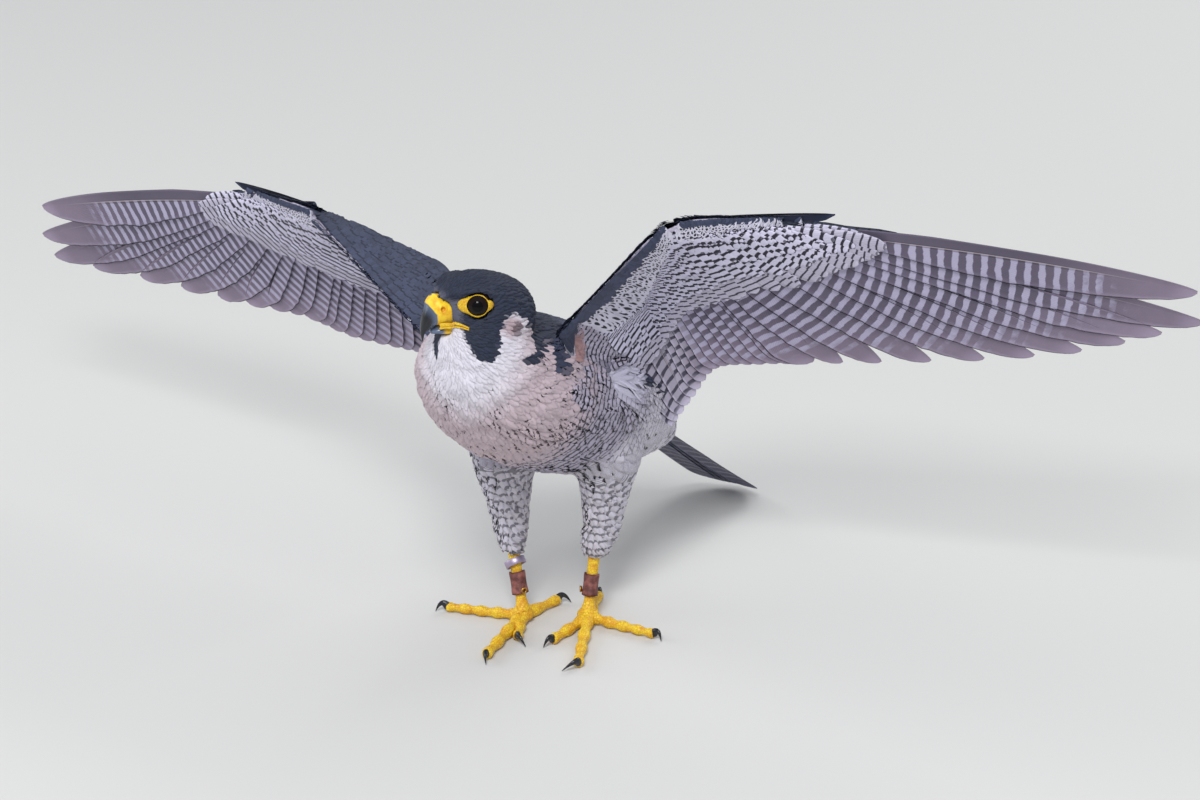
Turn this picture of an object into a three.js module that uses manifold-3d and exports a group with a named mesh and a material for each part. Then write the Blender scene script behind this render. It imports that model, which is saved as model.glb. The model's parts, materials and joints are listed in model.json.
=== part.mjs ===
// A peregrine falcon at life size, standing with both wings spread.
// Millimetres, +Z up. The bird faces -Y and its left side is +X. All sizes below are
// measured from the floor midway between the feet. At the end the whole bird is moved
// over the floor, so that the origin is under the middle of its outline.

import * as THREE from "three";
import { mergeVertices } from "three/addons/utils/BufferGeometryUtils.js";
import Module from "manifold-3d";

const wasm = await Module();
wasm.setup();

// Clearance between two pieces that meet face to face.
const GAP = 0.3;
// Facets shorter than this, left where two shapes cross, are taken out.
const FINEST = 0.02;

// Trunk: rings along the spine from the vent forward to the base of the neck.
// Each is [sideways shift, y, z, half width, half depth].
const TRUNK = [
  [0, 126, 70, 11, 7],
  [0, 104, 84, 25, 18],
  [0, 78, 101, 36, 30],
  [0, 45, 120, 46, 42],
  [-1, 7, 138.3, 52, 46],
  [-3, -29.5, 157.4, 55, 47],
  [-4.5, -58, 175.6, 53, 44],
  [-3.6, -75.6, 194, 43, 35.5],
  [-2, -81, 210, 30.5, 26.5],
  [-1, -81, 226, 21, 21],
];
const TRUNK_STEPS = 15;
const TRUNK_SIDES = 22;
// Planes that part the neck from the trunk and the head: [y, z, angle of their normal].
const NECK_BASE = { y: -72, z: 197, tilt: 65 };
const NECK_TOP = { y: -77, z: 213, tilt: 80 };

// Head: its own frame is forward, left and up from HEAD_CENTRE, turned to the bird's right.
const HEAD_CENTRE = new THREE.Vector3(-0.6, -76.2, 228);
const HEAD_YAW = 32;
const HEAD_PITCH = 6;
// Rings from the nape to the face: [forward, top, bottom, half width].
const HEAD = [
  [-29, 3, -14, 9],
  [-25, 10.5, -22, 17],
  [-17, 16.5, -27, 22.5],
  [-7, 20.2, -28, 24.5],
  [3, 22.2, -25, 24],
  [11, 22.8, -20.5, 21.4],
  [18, 21, -16, 17.2],
  [24, 17.6, -12.5, 12.6],
  [28, 14.8, -9.5, 9],
  [31.5, 12, -2.5, 7.2],
  [35, 9, 4, 4],
];
const HEAD_STEPS = 12;
const HEAD_SIDES = 20;

// Eyes: [forward, sideways, up] of each ball, and the lid ring round it.
const EYE_PLACE = [12.2, 13.6, 7.2];
const EYE_RADIUS = 8;
const EYE_FORWARD_TURN = 29;
const EYE_UP_TURN = 8;
const LID_RADIUS = 6.7;
const LID_THICKNESS = 1.25;
const LID_REACH = 4.9;
const LID_STEPS = 16;
const LID_SIDES = 5;
// Brow ridges, from behind each eye to the forehead: [forward, sideways, up, half width,
// half height].
const BROW = [
  [3, 18.5, 13.4, 1.5, 1],
  [9, 17, 15.2, 3.4, 2.4],
  [16, 14.8, 15.4, 4.4, 3],
  [23, 11.6, 14.6, 5, 3.8],
  [28.5, 8, 12.4, 4.4, 3.4],
  [32.5, 4.5, 9.8, 3, 1.8],
];
const BROW_SIDES = 8;

// Bill rings: [[forward, up] of the ridge, [forward, up] of the cutting edge, half width].
const BILL_UPPER = [
  [[22, 7.5], [20, -7.6], 9],
  [[28, 8.8], [25, -7.8], 8.6],
  [[33, 9.2], [29, -8.1], 8],
  [[36, 7.2], [32, -8.6], 6.8],
  [[38, 2.2], [34.2, -9.6], 5.4],
  [[39.4, -3.6], [36, -11], 3.9],
  [[39.9, -9.4], [37.2, -12.8], 2.4],
  [[39.5, -14], [37.6, -15], 1.2],
  [[38.3, -17.9], [37.7, -17.6], 0.45],
];
const BILL_LOWER = [
  [[17, -8.4], [17, -13], 9],
  [[24, -8.4], [24, -13.8], 7],
  [[30, -9], [29.6, -13.8], 5],
  [[34, -11.2], [33.4, -13.6], 2.6],
];
const BILL_SIDES = 14;
const NOSTRIL = { forward: 30.6, sideways: 7.2, up: 3, radius: 1.25, depth: 3, pin: 0.45 };
// The line of the mouth behind the bill, to the corner of the gape: [forward, sideways, up]
// of its outer edge, which stands clear of the skin, so that it cuts a slit of this depth.
const GAPE = [
  [25, 10, -8],
  [20.5, 15, -8.6],
  [16, 18.4, -9],
];
const GAPE_DEPTH = 4;
const GAPE_HEIGHT = 0.6;

// Wings: joints, front edge and the tips of the key feathers, which the others follow.
// Feathers count from the outermost primary, number 0, to the innermost tertial.
const PRIMARIES = 10;
const SECONDARIES = 12;
const TERTIALS = 4;
const FEATHERS = PRIMARIES + SECONDARIES + TERTIALS;
const KEY_FEATHERS = [0, 1, 2, 4, 6, 8, 10, 13, 17, 21, 25];
// The feather count at the wrist and at the elbow.
const AT_WRIST = PRIMARIES - 0.5;
const AT_ELBOW = PRIMARIES + SECONDARIES - 0.5;
// Where the first root of each group stands, as a share of its bone.
const INNER_PRIMARY = 0.04;
const OUTER_SECONDARY = 0.02;
const INNER_TERTIAL = 0.6;
const LEFT_WING = {
  side: 1,
  shoulder: [30, -42, 193],
  elbow: [41, 27, 206],
  wrist: [81, -7, 266],
  handEnd: [137, 21, 268],
  frontInner: [36, -58, 212],
  frontOuter: [80, -15, 273],
  tips: [
    [356, 102, 249],
    [356, 115, 226],
    [332, 113, 215],
    [286, 108, 196],
    [230, 98, 182],
    [170, 86, 171],
    [128, 78, 164],
    [100, 73, 159],
    [73, 65, 153],
    [57, 65, 131],
    [49, 53, 115],
  ],
};
const RIGHT_WING = {
  side: -1,
  shoulder: [-32, -42, 193],
  elbow: [-83, 0, 203],
  wrist: [-151, -16, 230],
  handEnd: [-212, 4, 222],
  frontInner: [-44, -68, 194],
  frontOuter: [-152, -24, 234],
  tips: [
    [-415, 57, 163],
    [-427, 71, 137],
    [-426, 81, 119],
    [-350, 71, 123],
    [-283, 62, 126],
    [-238, 54, 131],
    [-209, 52, 131],
    [-182, 55, 124],
    [-141, 54, 124],
    [-111, 51, 125],
    [-84, 50, 118],
  ],
};
// Share of each feather that the coverts hide, at the same key feathers.
const COVERT_SHARE = [0.24, 0.24, 0.26, 0.3, 0.36, 0.42, 0.46, 0.44, 0.42, 0.44, 0.5];
// The arm's closed form reaches this share of the way to the ends of the coverts.
const ARM_REACH = 0.66;
// Half thickness of the arm at the front edge, web of skin, bone, muscle and rear edge.
const ARM_HALF = {
  shoulder: [2.2, 3.4, 8.5, 6, 2.2],
  elbow: [1.6, 2.4, 7.5, 5, 2.2],
  wrist: [2.2, 3.6, 6, 4.2, 2.1],
  handEnd: [1.2, 1.8, 3, 2.4, 1.5],
};
// The hand's end: how far it passes the last root, and stands ahead of it.
const HAND_OVERHANG = 10;
const HAND_FRONT = 7;
// The arm's cross sections stand at these feather counts, from beyond the hand's end to
// the shoulder, and its two ends are drawn in by these shares.
const ARM_STATIONS = [-1.4, 0, 3, 6, AT_WRIST, 12, 15, 18, AT_ELBOW, 23.5, 25, 28];
const HAND_END_DRAW = 0.6;
const HAND_END_THIN = 0.5;
const SHOULDER_DRAW = 0.75;
// Past the wrist the web of skin turns to face its own plane over this many feathers.
const WEB_BLEND = 4;
// Where the web and the muscle are thickest, between the front edge, bone and rear edge.
const WEB_SHARE = 0.45;
const MUSCLE_SHARE = 0.4;

// Flight feathers: widths of the front and rear webs at each feather group, and where
// along the feather its tip starts to round off.
const VANE_THICKNESS = 0.55;
const VANE_LAYER = 0.95;
const PRIMARY = {
  front: 6.5, rear: 19, tipFrom: 0.62, tipWidth: 0.14, sweep: 0.006, steps: 6, bunch: 2, over: 1,
};
const SECONDARY = {
  front: 10, rear: 17, tipFrom: 0.8, tipWidth: 0.3, sweep: 0, steps: 5, bunch: 2.2, over: 1,
};
// A vane is at most this many times as wide as the distance to the next one.
const WIDEST = 2;
const CLOSEST = 2.5;
// Great coverts lie over the roots of the flight feathers, above and below. Each is
// drawn over two flight feathers.
const COVERT = {
  front: 11, rear: 13, tipFrom: 0.55, tipWidth: 0.3, sweep: 0, steps: 4, bunch: 2, over: 2,
};
// The first feather of each tier has no other in front of its leading edge.
const FIRST_PRIMARY = { ...PRIMARY, front: 8.5, freeFront: true };
const FIRST_COVERT = { ...COVERT, front: 3.5 };
const COVERT_FROM = 0.3;
const COVERT_LIFT = { above: 2.6, below: -2.9 };

// Thumb feathers at the wrist.
const ALULA = {
  lengths: [80, 62, 44],
  front: 4,
  rear: 8,
  tipFrom: 0.6,
  tipWidth: 0.2,
  steps: 5,
  root: 0.2,
  ahead: 4,
  lift: 5.4,
  step: 0.9,
  slope: 0.02,
  splay: 0.1,
  rise: 0.06,
  over: 7.5,
  thumbBack: 2,
  thumbLength: 20,
  thumbRadii: [2.6, 1.4],
};

// Tail: twelve feathers that close to a narrow fan and rest on the floor.
const TAIL_ROOT = new THREE.Vector3(0, 112, 78);
const TAIL_TIP = new THREE.Vector3(12, 206, 1);
const TAIL_FEATHERS = 12;
const TAIL_ROOT_WIDTH = 22;
const TAIL_TIP_WIDTH = 36;
const TAIL_OUTER_SHORTFALL = 10;
const TAIL_FRONT = 7;
const TAIL_REAR = 11;
const TAIL_STEPS = 5;
const TAIL_BUNCH = 2.2;
const TAIL_TIP_FROM = 0.86;
const TAIL_TIP_SHARE = 0.4;
const TAIL_LAYER = 0.45;
const TAIL_LIFT = 3;
const RUMP = [
  [0, 104, 84, 26, 18],
  [0, 124, 70, 22, 14.5],
  [3, 146, 52, 18, 10],
  [6, 166, 35, 15, 5.4],
  [8, 180, 23, 11, 2],
];

// Legs, from the hip to the foot: [x, y, z, half width, half depth].
const RIGHT_LEG = {
  side: -1,
  name: "right",
  thigh: [
    [-28, 2, 128, 22, 30],
    [-35, 0, 106, 23, 26],
    [-35, -1, 84, 18.5, 19],
    [-31, -4, 62, 13.5, 14],
    [-26, -9, 45, 9.5, 10],
    [-23, -11, 38, 7, 7.6],
  ],
  tarsusTop: [-22.6, -11.6, 37.4],
  sole: [-12, -20, 8.5],
  toes: {
    outer: { tip: [-56.7, -31.6], claw: [-63.1, -36.6], radius: 3.4, joints: 4 },
    middle: { tip: [-5, -72.2], claw: [-1, -80], radius: 3.9, joints: 3 },
    inner: { tip: [-1.4, -43.1], claw: [7.4, -48.8], radius: 3.7, joints: 2 },
    hind: { tip: [-5, 8.4], claw: [1.5, 14.5], radius: 3.7, joints: 1 },
  },
};
const LEFT_LEG = {
  side: 1,
  name: "left",
  thigh: [
    [26, 12, 128, 22, 30],
    [28, 14, 106, 20, 26],
    [26, 14, 84, 16, 19],
    [24, 13, 62, 12.5, 14],
    [21.5, 11, 45, 9.5, 10],
    [20, 10, 38, 7, 7.6],
  ],
  tarsusTop: [20.3, 9.4, 37.4],
  sole: [23.1, -2, 8.5],
  toes: {
    outer: { tip: [66.2, -0.6], claw: [73.6, -3], radius: 3.4, joints: 4 },
    middle: { tip: [46.8, -54.4], claw: [41.5, -64.5], radius: 3.9, joints: 3 },
    inner: { tip: [19.2, -36.3], claw: [17, -44.5], radius: 3.7, joints: 2 },
    hind: { tip: [14, 26], claw: [10, 33.5], radius: 3.7, joints: 1 },
  },
};
const TARSUS_RADIUS = [3.1, 3.5];
const TARSUS_SIDES = 12;
const TARSUS_LOW = 0.16;
const PALM = { radius: 6.6, height: 5.5 };
const TOE_SIDES = 6;
const TOE_SWELL = 0.14;
// A toe's thickness at its root, tip and flat nose, as shares of its radius, and the share
// of its length over which it comes down from the palm to the floor.
const TOE_ROOT = 1.12;
const TOE_TIP = 0.86;
const TOE_NOSE_WIDTH = 0.66;
const TOE_NOSE_HEIGHT = 0.7;
const TOE_LEVEL = 0.45;
const CLAW_RADIUS = 2.7;
const CLAW_POINT = 0.12;
const CLAW_POINT_HEIGHT = 0.6;
const CLAW_FLATTEN = 0.8;
const CLAW_ARCH = 8.5;
const CLAW_SIDES = 6;
const CLAW_STEPS = 6;
const TOE_NOSE = 1.4;

// Falconry furniture: a leather cuff on each leg, its metal eyelet, and a ring.
const CUFF = { low: 0.27, high: 0.7, over: 0.1, flare: 0.5, thickness: 1.3, sides: 14 };
const EYELET = { share: 0.4, radius: 2.1, bore: 1.05, length: 1.5, turn: 60 };
const RING = { share: 0.87, radius: 6.4, wall: 0.8, height: 4.2, tilt: 15, sides: 18 };

// Turns an array of three numbers into a vector.
const vec = (p) => new THREE.Vector3(p[0], p[1], p[2]);

// A smooth curve through rows of numbers, read at 0..1 along the rows.
function between(rows, share) {
  const at = share * (rows.length - 1);
  const i = Math.min(Math.floor(at), rows.length - 2);
  const t = at - i;
  const row = (k) => rows[Math.max(0, Math.min(rows.length - 1, k))];
  return rows[0].map((_, k) => {
    const [a, b, c, d] = [row(i - 1)[k], row(i)[k], row(i + 1)[k], row(i + 2)[k]];
    return b + 0.5 * t * (c - a + t * (2 * a - 5 * b + 4 * c - d + t * (3 * (b - c) + d - a)));
  });
}

// The same curve for rows that stand at uneven keys, read at any key value.
function betweenKeys(keys, rows, key) {
  let i = 0;
  while (i < keys.length - 2 && key > keys[i + 1]) {
    i += 1;
  }
  const share = (i + (key - keys[i]) / (keys[i + 1] - keys[i])) / (keys.length - 1);
  return between(rows, share);
}

// Makes a closed mesh from flat lists, with its faces turned outwards.
function meshFrom(points, faces) {
  const geometry = new THREE.BufferGeometry();
  const numbers = points.flatMap((p) => [p.x, p.y, p.z]);
  geometry.setAttribute("position", new THREE.Float32BufferAttribute(numbers, 3));
  let volume = 0;
  const middle = points[0];
  for (const [a, b, c] of faces) {
    const u = points[a].clone().sub(middle);
    const v = points[b].clone().sub(middle);
    const w = points[c].clone().sub(middle);
    volume += u.dot(v.cross(w));
  }
  geometry.setIndex(faces.flatMap(([a, b, c]) => (volume < 0 ? [a, c, b] : [a, b, c])));
  return geometry;
}

// Skins a run of rings that have the same number of points, and closes both ends.
function loft(rings) {
  const sides = rings[0].length;
  const points = rings.flat();
  const faces = [];
  for (let i = 0; i < rings.length - 1; i += 1) {
    for (let j = 0; j < sides; j += 1) {
      const a = i * sides + j;
      const b = i * sides + ((j + 1) % sides);
      faces.push([a, b, a + sides]);
      faces.push([b, b + sides, a + sides]);
    }
  }
  const close = (start, flip) => {
    const centre = new THREE.Vector3();
    for (let j = 0; j < sides; j += 1) {
      centre.add(points[start + j]);
    }
    points.push(centre.divideScalar(sides));
    for (let j = 0; j < sides; j += 1) {
      const edge = [start + j, start + ((j + 1) % sides)];
      faces.push([points.length - 1, edge[flip ? 0 : 1], edge[flip ? 1 : 0]]);
    }
  };
  close(0, false);
  close((rings.length - 1) * sides, true);
  return meshFrom(points, faces);
}

// An oval ring round a centre, across two axes.
function oval(centre, across, along, halfWidth, halfDepth, sides) {
  const ring = [];
  for (let j = 0; j < sides; j += 1) {
    const angle = (2 * Math.PI * j) / sides;
    const side = across.clone().multiplyScalar(halfWidth * Math.cos(angle));
    const rise = along.clone().multiplyScalar(halfDepth * Math.sin(angle));
    ring.push(centre.clone().add(side).add(rise));
  }
  return ring;
}

// Ovals along rows of [x, y, z, half width, half depth], each square to the run of the rows.
function ovalRun(rows, steps, sides, grow = 0) {
  const rings = [];
  const across = new THREE.Vector3(1, 0, 0);
  for (let i = 0; i <= steps; i += 1) {
    const row = between(rows, i / steps);
    const before = vec(between(rows, Math.max(0, i / steps - 0.02)));
    const after = vec(between(rows, Math.min(1, i / steps + 0.02)));
    const run = after.sub(before).normalize();
    const along = run.clone().cross(across).normalize();
    rings.push(oval(vec(row), across, along, row[3] + grow, row[4] + grow, sides));
  }
  return loft(rings);
}

// Solids for joining and cutting.
function solid(geometry) {
  geometry.deleteAttribute("normal");
  geometry.deleteAttribute("uv");
  const merged = mergeVertices(geometry, 1e-4);
  const mesh = new wasm.Mesh({
    numProp: 3,
    vertProperties: Float32Array.from(merged.attributes.position.array),
    triVerts: Uint32Array.from(merged.index.array),
  });
  return new wasm.Manifold(mesh);
}

function fuse(parts) {
  return parts.reduce((whole, part) => whole.add(part));
}

// The largest closed surface of a solid.
function largest(body) {
  const pieces = body.decompose();
  return pieces.reduce((best, piece) => (piece.volume() > best.volume() ? piece : best));
}

function geometryOf(body) {
  const mesh = body.getMesh();
  const points = [];
  for (let i = 0; i < mesh.vertProperties.length; i += mesh.numProp) {
    points.push(mesh.vertProperties[i], mesh.vertProperties[i + 1], mesh.vertProperties[i + 2]);
  }
  const geometry = new THREE.BufferGeometry();
  geometry.setAttribute("position", new THREE.Float32BufferAttribute(points, 3));
  geometry.setIndex(Array.from(mesh.triVerts));
  return geometry;
}

// Keeps the side of a plane that the normal points to, half a gap clear of it.
function keepSide(body, point, normal, clear = GAP / 2) {
  const n = normal.clone().normalize();
  return body.trimByPlane([n.x, n.y, n.z], n.dot(point) + clear);
}

const group = new THREE.Group();

function addNode(name, body, colour, roughness, metalness = 0) {
  const material = new THREE.MeshStandardMaterial({ color: colour, roughness, metalness });
  const mesh = new THREE.Mesh(geometryOf(largest(body).simplify(FINEST)), material);
  mesh.name = name;
  group.add(mesh);
}

const COLOURS = {
  slate: 0x39434f,
  breast: 0xcfc4be,
  vane: 0x6d6668,
  yellow: 0xe3b21c,
  horn: 0x2b2d31,
  eye: 0x140c08,
  leather: 0x5a2e22,
  metal: 0xb98f86,
  brass: 0xb08d3e,
};

// Trunk and neck

const trunk = (grow) => solid(ovalRun(TRUNK, TRUNK_STEPS, TRUNK_SIDES, grow));
const neckPlane = (place) => {
  const tilt = THREE.MathUtils.degToRad(place.tilt);
  return {
    point: new THREE.Vector3(0, place.y, place.z),
    normal: new THREE.Vector3(0, -Math.cos(tilt), Math.sin(tilt)),
  };
};
const neckBase = neckPlane(NECK_BASE);
const neckTop = neckPlane(NECK_TOP);
const reversed = (normal) => normal.clone().negate();

// Head frame

const headForward = new THREE.Vector3(
  -Math.sin(THREE.MathUtils.degToRad(HEAD_YAW)) * Math.cos(THREE.MathUtils.degToRad(HEAD_PITCH)),
  -Math.cos(THREE.MathUtils.degToRad(HEAD_YAW)) * Math.cos(THREE.MathUtils.degToRad(HEAD_PITCH)),
  Math.sin(THREE.MathUtils.degToRad(HEAD_PITCH)),
);
const headLeft = new THREE.Vector3(0, 0, 1).cross(headForward).normalize();
const headUp = headForward.clone().cross(headLeft);

function inHead(forward, left, up) {
  return HEAD_CENTRE.clone()
    .addScaledVector(headForward, forward)
    .addScaledVector(headLeft, left)
    .addScaledVector(headUp, up);
}

function skull() {
  const rings = [];
  for (let i = 0; i <= HEAD_STEPS; i += 1) {
    const [forward, top, bottom, half] = between(HEAD, i / HEAD_STEPS);
    const centre = inHead(forward, 0, (top + bottom) / 2);
    rings.push(oval(centre, headLeft, headUp, half, (top - bottom) / 2, HEAD_SIDES));
  }
  return solid(loft(rings));
}

function ball(centre, radius) {
  const geometry = new THREE.SphereGeometry(radius, 14, 8);
  geometry.translate(centre.x, centre.y, centre.z);
  return solid(geometry);
}

function eyeAxis(side) {
  const forward = THREE.MathUtils.degToRad(EYE_FORWARD_TURN);
  const up = THREE.MathUtils.degToRad(EYE_UP_TURN);
  return headLeft.clone().multiplyScalar(side * Math.cos(forward) * Math.cos(up))
    .addScaledVector(headForward, Math.sin(forward) * Math.cos(up))
    .addScaledVector(headUp, Math.sin(up));
}

const eyeCentre = (side) => inHead(EYE_PLACE[0], side * EYE_PLACE[1], EYE_PLACE[2]);

// The bare ring of the lids, drawn out a little at its front and rear corners.
function lids(side) {
  const axis = eyeAxis(side);
  const across = headUp.clone().cross(axis).normalize();
  const up = axis.clone().cross(across);
  const centre = eyeCentre(side).addScaledVector(axis, LID_REACH);
  const rings = [];
  for (let i = 0; i < LID_STEPS; i += 1) {
    const angle = (2 * Math.PI * i) / LID_STEPS;
    const out = across.clone().multiplyScalar(Math.cos(angle)).addScaledVector(up, Math.sin(angle));
    const corner = 1 + 0.1 * Math.cos(angle) ** 8;
    const point = centre.clone().addScaledVector(out, LID_RADIUS * corner);
    rings.push(oval(point, out, axis, LID_THICKNESS * corner, LID_THICKNESS, LID_SIDES));
  }
  return solid(closedLoft(rings));
}

// Skins rings that run round in a circle.
function closedLoft(rings) {
  const sides = rings[0].length;
  const points = rings.flat();
  const faces = [];
  for (let i = 0; i < rings.length; i += 1) {
    const here = i * sides;
    const next = ((i + 1) % rings.length) * sides;
    for (let j = 0; j < sides; j += 1) {
      const k = (j + 1) % sides;
      faces.push([here + j, here + k, next + j]);
      faces.push([here + k, next + k, next + j]);
    }
  }
  return meshFrom(points, faces);
}

function brow(side) {
  const rings = BROW.map(([forward, sideways, up, halfWidth, halfHeight]) => {
    const centre = inHead(forward, side * sideways, up);
    return oval(centre, headLeft, headUp, halfWidth, halfHeight, BROW_SIDES);
  });
  return solid(loft(rings));
}

// A bill half: rounded over the ridge and drawn in to the cutting edge.
function billHalf(rows, grow) {
  const rings = rows.map(([ridge, edge, half]) => {
    const top = inHead(ridge[0], 0, ridge[1]);
    const bottom = inHead(edge[0], 0, edge[1]);
    const rise = top.clone().sub(bottom);
    const height = rise.length() / 2 + grow;
    const centre = top.add(bottom).multiplyScalar(0.5);
    return oval(centre, headLeft, rise.normalize(), half + grow, height, BILL_SIDES);
  });
  return solid(loft(rings));
}

function nostril(side) {
  const axis = headLeft.clone().multiplyScalar(side);
  const outer = inHead(NOSTRIL.forward, side * (NOSTRIL.sideways + 2), NOSTRIL.up);
  const inner = outer.clone().addScaledVector(axis, -NOSTRIL.depth - 1);
  const pit = [inner, outer].map((p) => oval(p, headForward, headUp, NOSTRIL.radius, NOSTRIL.radius, 10));
  const pinEnd = outer.clone().addScaledVector(axis, -2.6);
  const pin = [inner, pinEnd].map((p) => oval(p, headForward, headUp, NOSTRIL.pin, NOSTRIL.pin, 6));
  return solid(loft(pit)).subtract(solid(loft(pin)));
}

// The slit of the mouth line on one side.
function gape(side) {
  const outer = GAPE.map(([forward, sideways, up]) => inHead(forward, side * sideways, up));
  const inner = GAPE.map(([forward, sideways, up]) => {
    return inHead(forward, side * (sideways - GAPE_DEPTH), up);
  });
  return plate(outer, inner, GAPE.map(() => headUp), GAPE_HEIGHT);
}

function buildHead() {
  const upper = billHalf(BILL_UPPER, 0).subtract(fuse([nostril(1), nostril(-1)]));
  const lower = billHalf(BILL_LOWER, 0).subtract(billHalf(BILL_UPPER, GAP));
  const whole = fuse([trunk(0), skull(), brow(1), brow(-1), lids(1), lids(-1)]);
  const sockets = fuse([1, -1].map((side) => ball(eyeCentre(side), EYE_RADIUS + GAP)));
  const bills = fuse([billHalf(BILL_UPPER, GAP), billHalf(BILL_LOWER, GAP)]);
  const head = keepSide(whole, neckTop.point, neckTop.normal);
  const openings = fuse([sockets, bills, gape(1), gape(-1)]);
  addNode("head", head.subtract(openings), COLOURS.slate, 0.75);
  const aboveBase = keepSide(whole, neckBase.point, neckBase.normal);
  addNode("neck", keepSide(aboveBase, neckTop.point, reversed(neckTop.normal)), COLOURS.slate, 0.8);
  addNode("bill_upper", upper, COLOURS.horn, 0.35);
  addNode("bill_lower", lower, COLOURS.yellow, 0.4);
  addNode("eye_left", ball(eyeCentre(1), EYE_RADIUS), COLOURS.eye, 0.08);
  addNode("eye_right", ball(eyeCentre(-1), EYE_RADIUS), COLOURS.eye, 0.08);
}

function buildTorso() {
  addNode("torso", keepSide(trunk(0), neckBase.point, reversed(neckBase.normal)), COLOURS.breast, 0.85);
}

// A flat vane between two edges. Both faces are split into triangles alike.
function plate(frontEdge, rearEdge, normals, thickness) {
  const n = frontEdge.length;
  const points = [];
  for (const lift of [thickness / 2, -thickness / 2]) {
    for (let i = 0; i < n; i += 1) {
      points.push(frontEdge[i].clone().addScaledVector(normals[i], lift));
      points.push(rearEdge[i].clone().addScaledVector(normals[i], lift));
    }
  }
  const under = 2 * n;
  const faces = [];
  for (let i = 0; i < n - 1; i += 1) {
    const [a, b, c, d] = [2 * i, 2 * i + 1, 2 * i + 2, 2 * i + 3];
    faces.push([a, b, d], [a, d, c]);
    faces.push([under + a, under + d, under + b], [under + a, under + c, under + d]);
    faces.push([a, c, under + c], [a, under + c, under + a]);
    faces.push([b, under + b, under + d], [b, under + d, d]);
  }
  faces.push([0, under, under + 1], [0, under + 1, 1]);
  const last = 2 * n - 2;
  faces.push([last, last + 1, under + last + 1], [last, under + last + 1, under + last]);
  return solid(meshFrom(points, faces));
}

// Width of a vane along its length: it widens from the root and rounds off at the tip.
function vaneOutline(share, tipFrom, tipWidth) {
  const rise = Math.min(1, 0.45 + share * 1.6);
  if (share < tipFrom) {
    return rise;
  }
  const t = (share - tipFrom) / (1 - tipFrom);
  return rise * Math.max(tipWidth, Math.sqrt(Math.max(0, 1 - t * t)));
}

// Flight feathers of one wing

function wingFrame(wing) {
  const joints = {
    shoulder: vec(wing.shoulder),
    elbow: vec(wing.elbow),
    wrist: vec(wing.wrist),
    handEnd: vec(wing.handEnd),
    frontInner: vec(wing.frontInner),
    frontOuter: vec(wing.frontOuter),
  };
  const tip = (number) => vec(betweenKeys(KEY_FEATHERS, wing.tips, number));
  const root = (number) => {
    if (number <= AT_WRIST) {
      const share = THREE.MathUtils.lerp(1, INNER_PRIMARY, number / AT_WRIST);
      return joints.wrist.clone().lerp(joints.handEnd, share);
    }
    if (number <= AT_ELBOW) {
      const share = (number - AT_WRIST) / SECONDARIES;
      return joints.wrist.clone().lerp(joints.elbow, Math.max(share, OUTER_SECONDARY));
    }
    const share = (number - AT_ELBOW) / TERTIALS;
    return joints.elbow.clone().lerp(joints.shoulder, INNER_TERTIAL * share);
  };
  const shaft = (number) => tip(number).sub(root(number)).normalize();
  // From one shaft square to the next one ahead of it, at a share of the length.
  const stepAhead = (number, share) => {
    const ahead = Math.max(0, number - 0.5);
    const behind = Math.min(FEATHERS - 1, number + 0.5);
    const a = root(ahead).lerp(tip(ahead), share);
    const b = root(behind).lerp(tip(behind), share);
    const out = a.sub(b).divideScalar(behind - ahead);
    const along = shaft(number);
    return out.addScaledVector(along, -out.dot(along));
  };
  const across = (number, share) => stepAhead(number, share).normalize();
  const spacing = (number, share) => stepAhead(number, share).length();
  const dorsal = (number, share) => {
    const normal = across(number, share).cross(shaft(number));
    return normal.multiplyScalar(wing.side).normalize();
  };
  return { ...joints, side: wing.side, tip, root, shaft, across, dorsal, spacing };
}

// A vane along a feather's line, between two shares of it. Its front edge is raised and its
// rear edge dropped, so that each feather passes over the next one.
function wingVane(frame, number, form, lift = 0, from = 0, to = 1) {
  const root = frame.root(number);
  const tip = frame.tip(number);
  const length = tip.distanceTo(root);
  const frontEdge = [];
  const rearEdge = [];
  const normals = [];
  for (let i = 0; i < form.steps; i += 1) {
    const bunched = 1 - (1 - i / (form.steps - 1)) ** form.bunch;
    const share = from + (to - from) * bunched;
    const across = frame.across(number, share);
    const dorsal = frame.dorsal(number, share);
    const spacing = form.over * Math.max(CLOSEST, frame.spacing(number, share));
    const outward = across.clone().addScaledVector(dorsal, VANE_LAYER / spacing);
    const middle = root.clone().lerp(tip, share)
      .addScaledVector(across, form.sweep * length * Math.sin(Math.PI * share))
      .addScaledVector(dorsal, lift);
    const narrowed = Math.min(1, (WIDEST * spacing) / (form.front + form.rear));
    const outline = vaneOutline(bunched, form.tipFrom, form.tipWidth);
    const front = form.front * outline * (form.freeFront ? 1 : narrowed);
    frontEdge.push(middle.clone().addScaledVector(outward, front));
    rearEdge.push(middle.clone().addScaledVector(outward, -form.rear * outline * narrowed));
    normals.push(dorsal);
  }
  return plate(frontEdge, rearEdge, normals, VANE_THICKNESS);
}

function flightFeather(frame, number) {
  const primary = number === 0 ? FIRST_PRIMARY : PRIMARY;
  return wingVane(frame, number, number < PRIMARIES ? primary : SECONDARY);
}

function covertShare(number) {
  const rows = COVERT_SHARE.map((share) => [share]);
  return betweenKeys(KEY_FEATHERS, rows, number)[0];
}

function covert(frame, number, lift) {
  const to = covertShare(number);
  return wingVane(frame, number, number < 1 ? FIRST_COVERT : COVERT, lift, to * COVERT_FROM, to);
}

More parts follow.
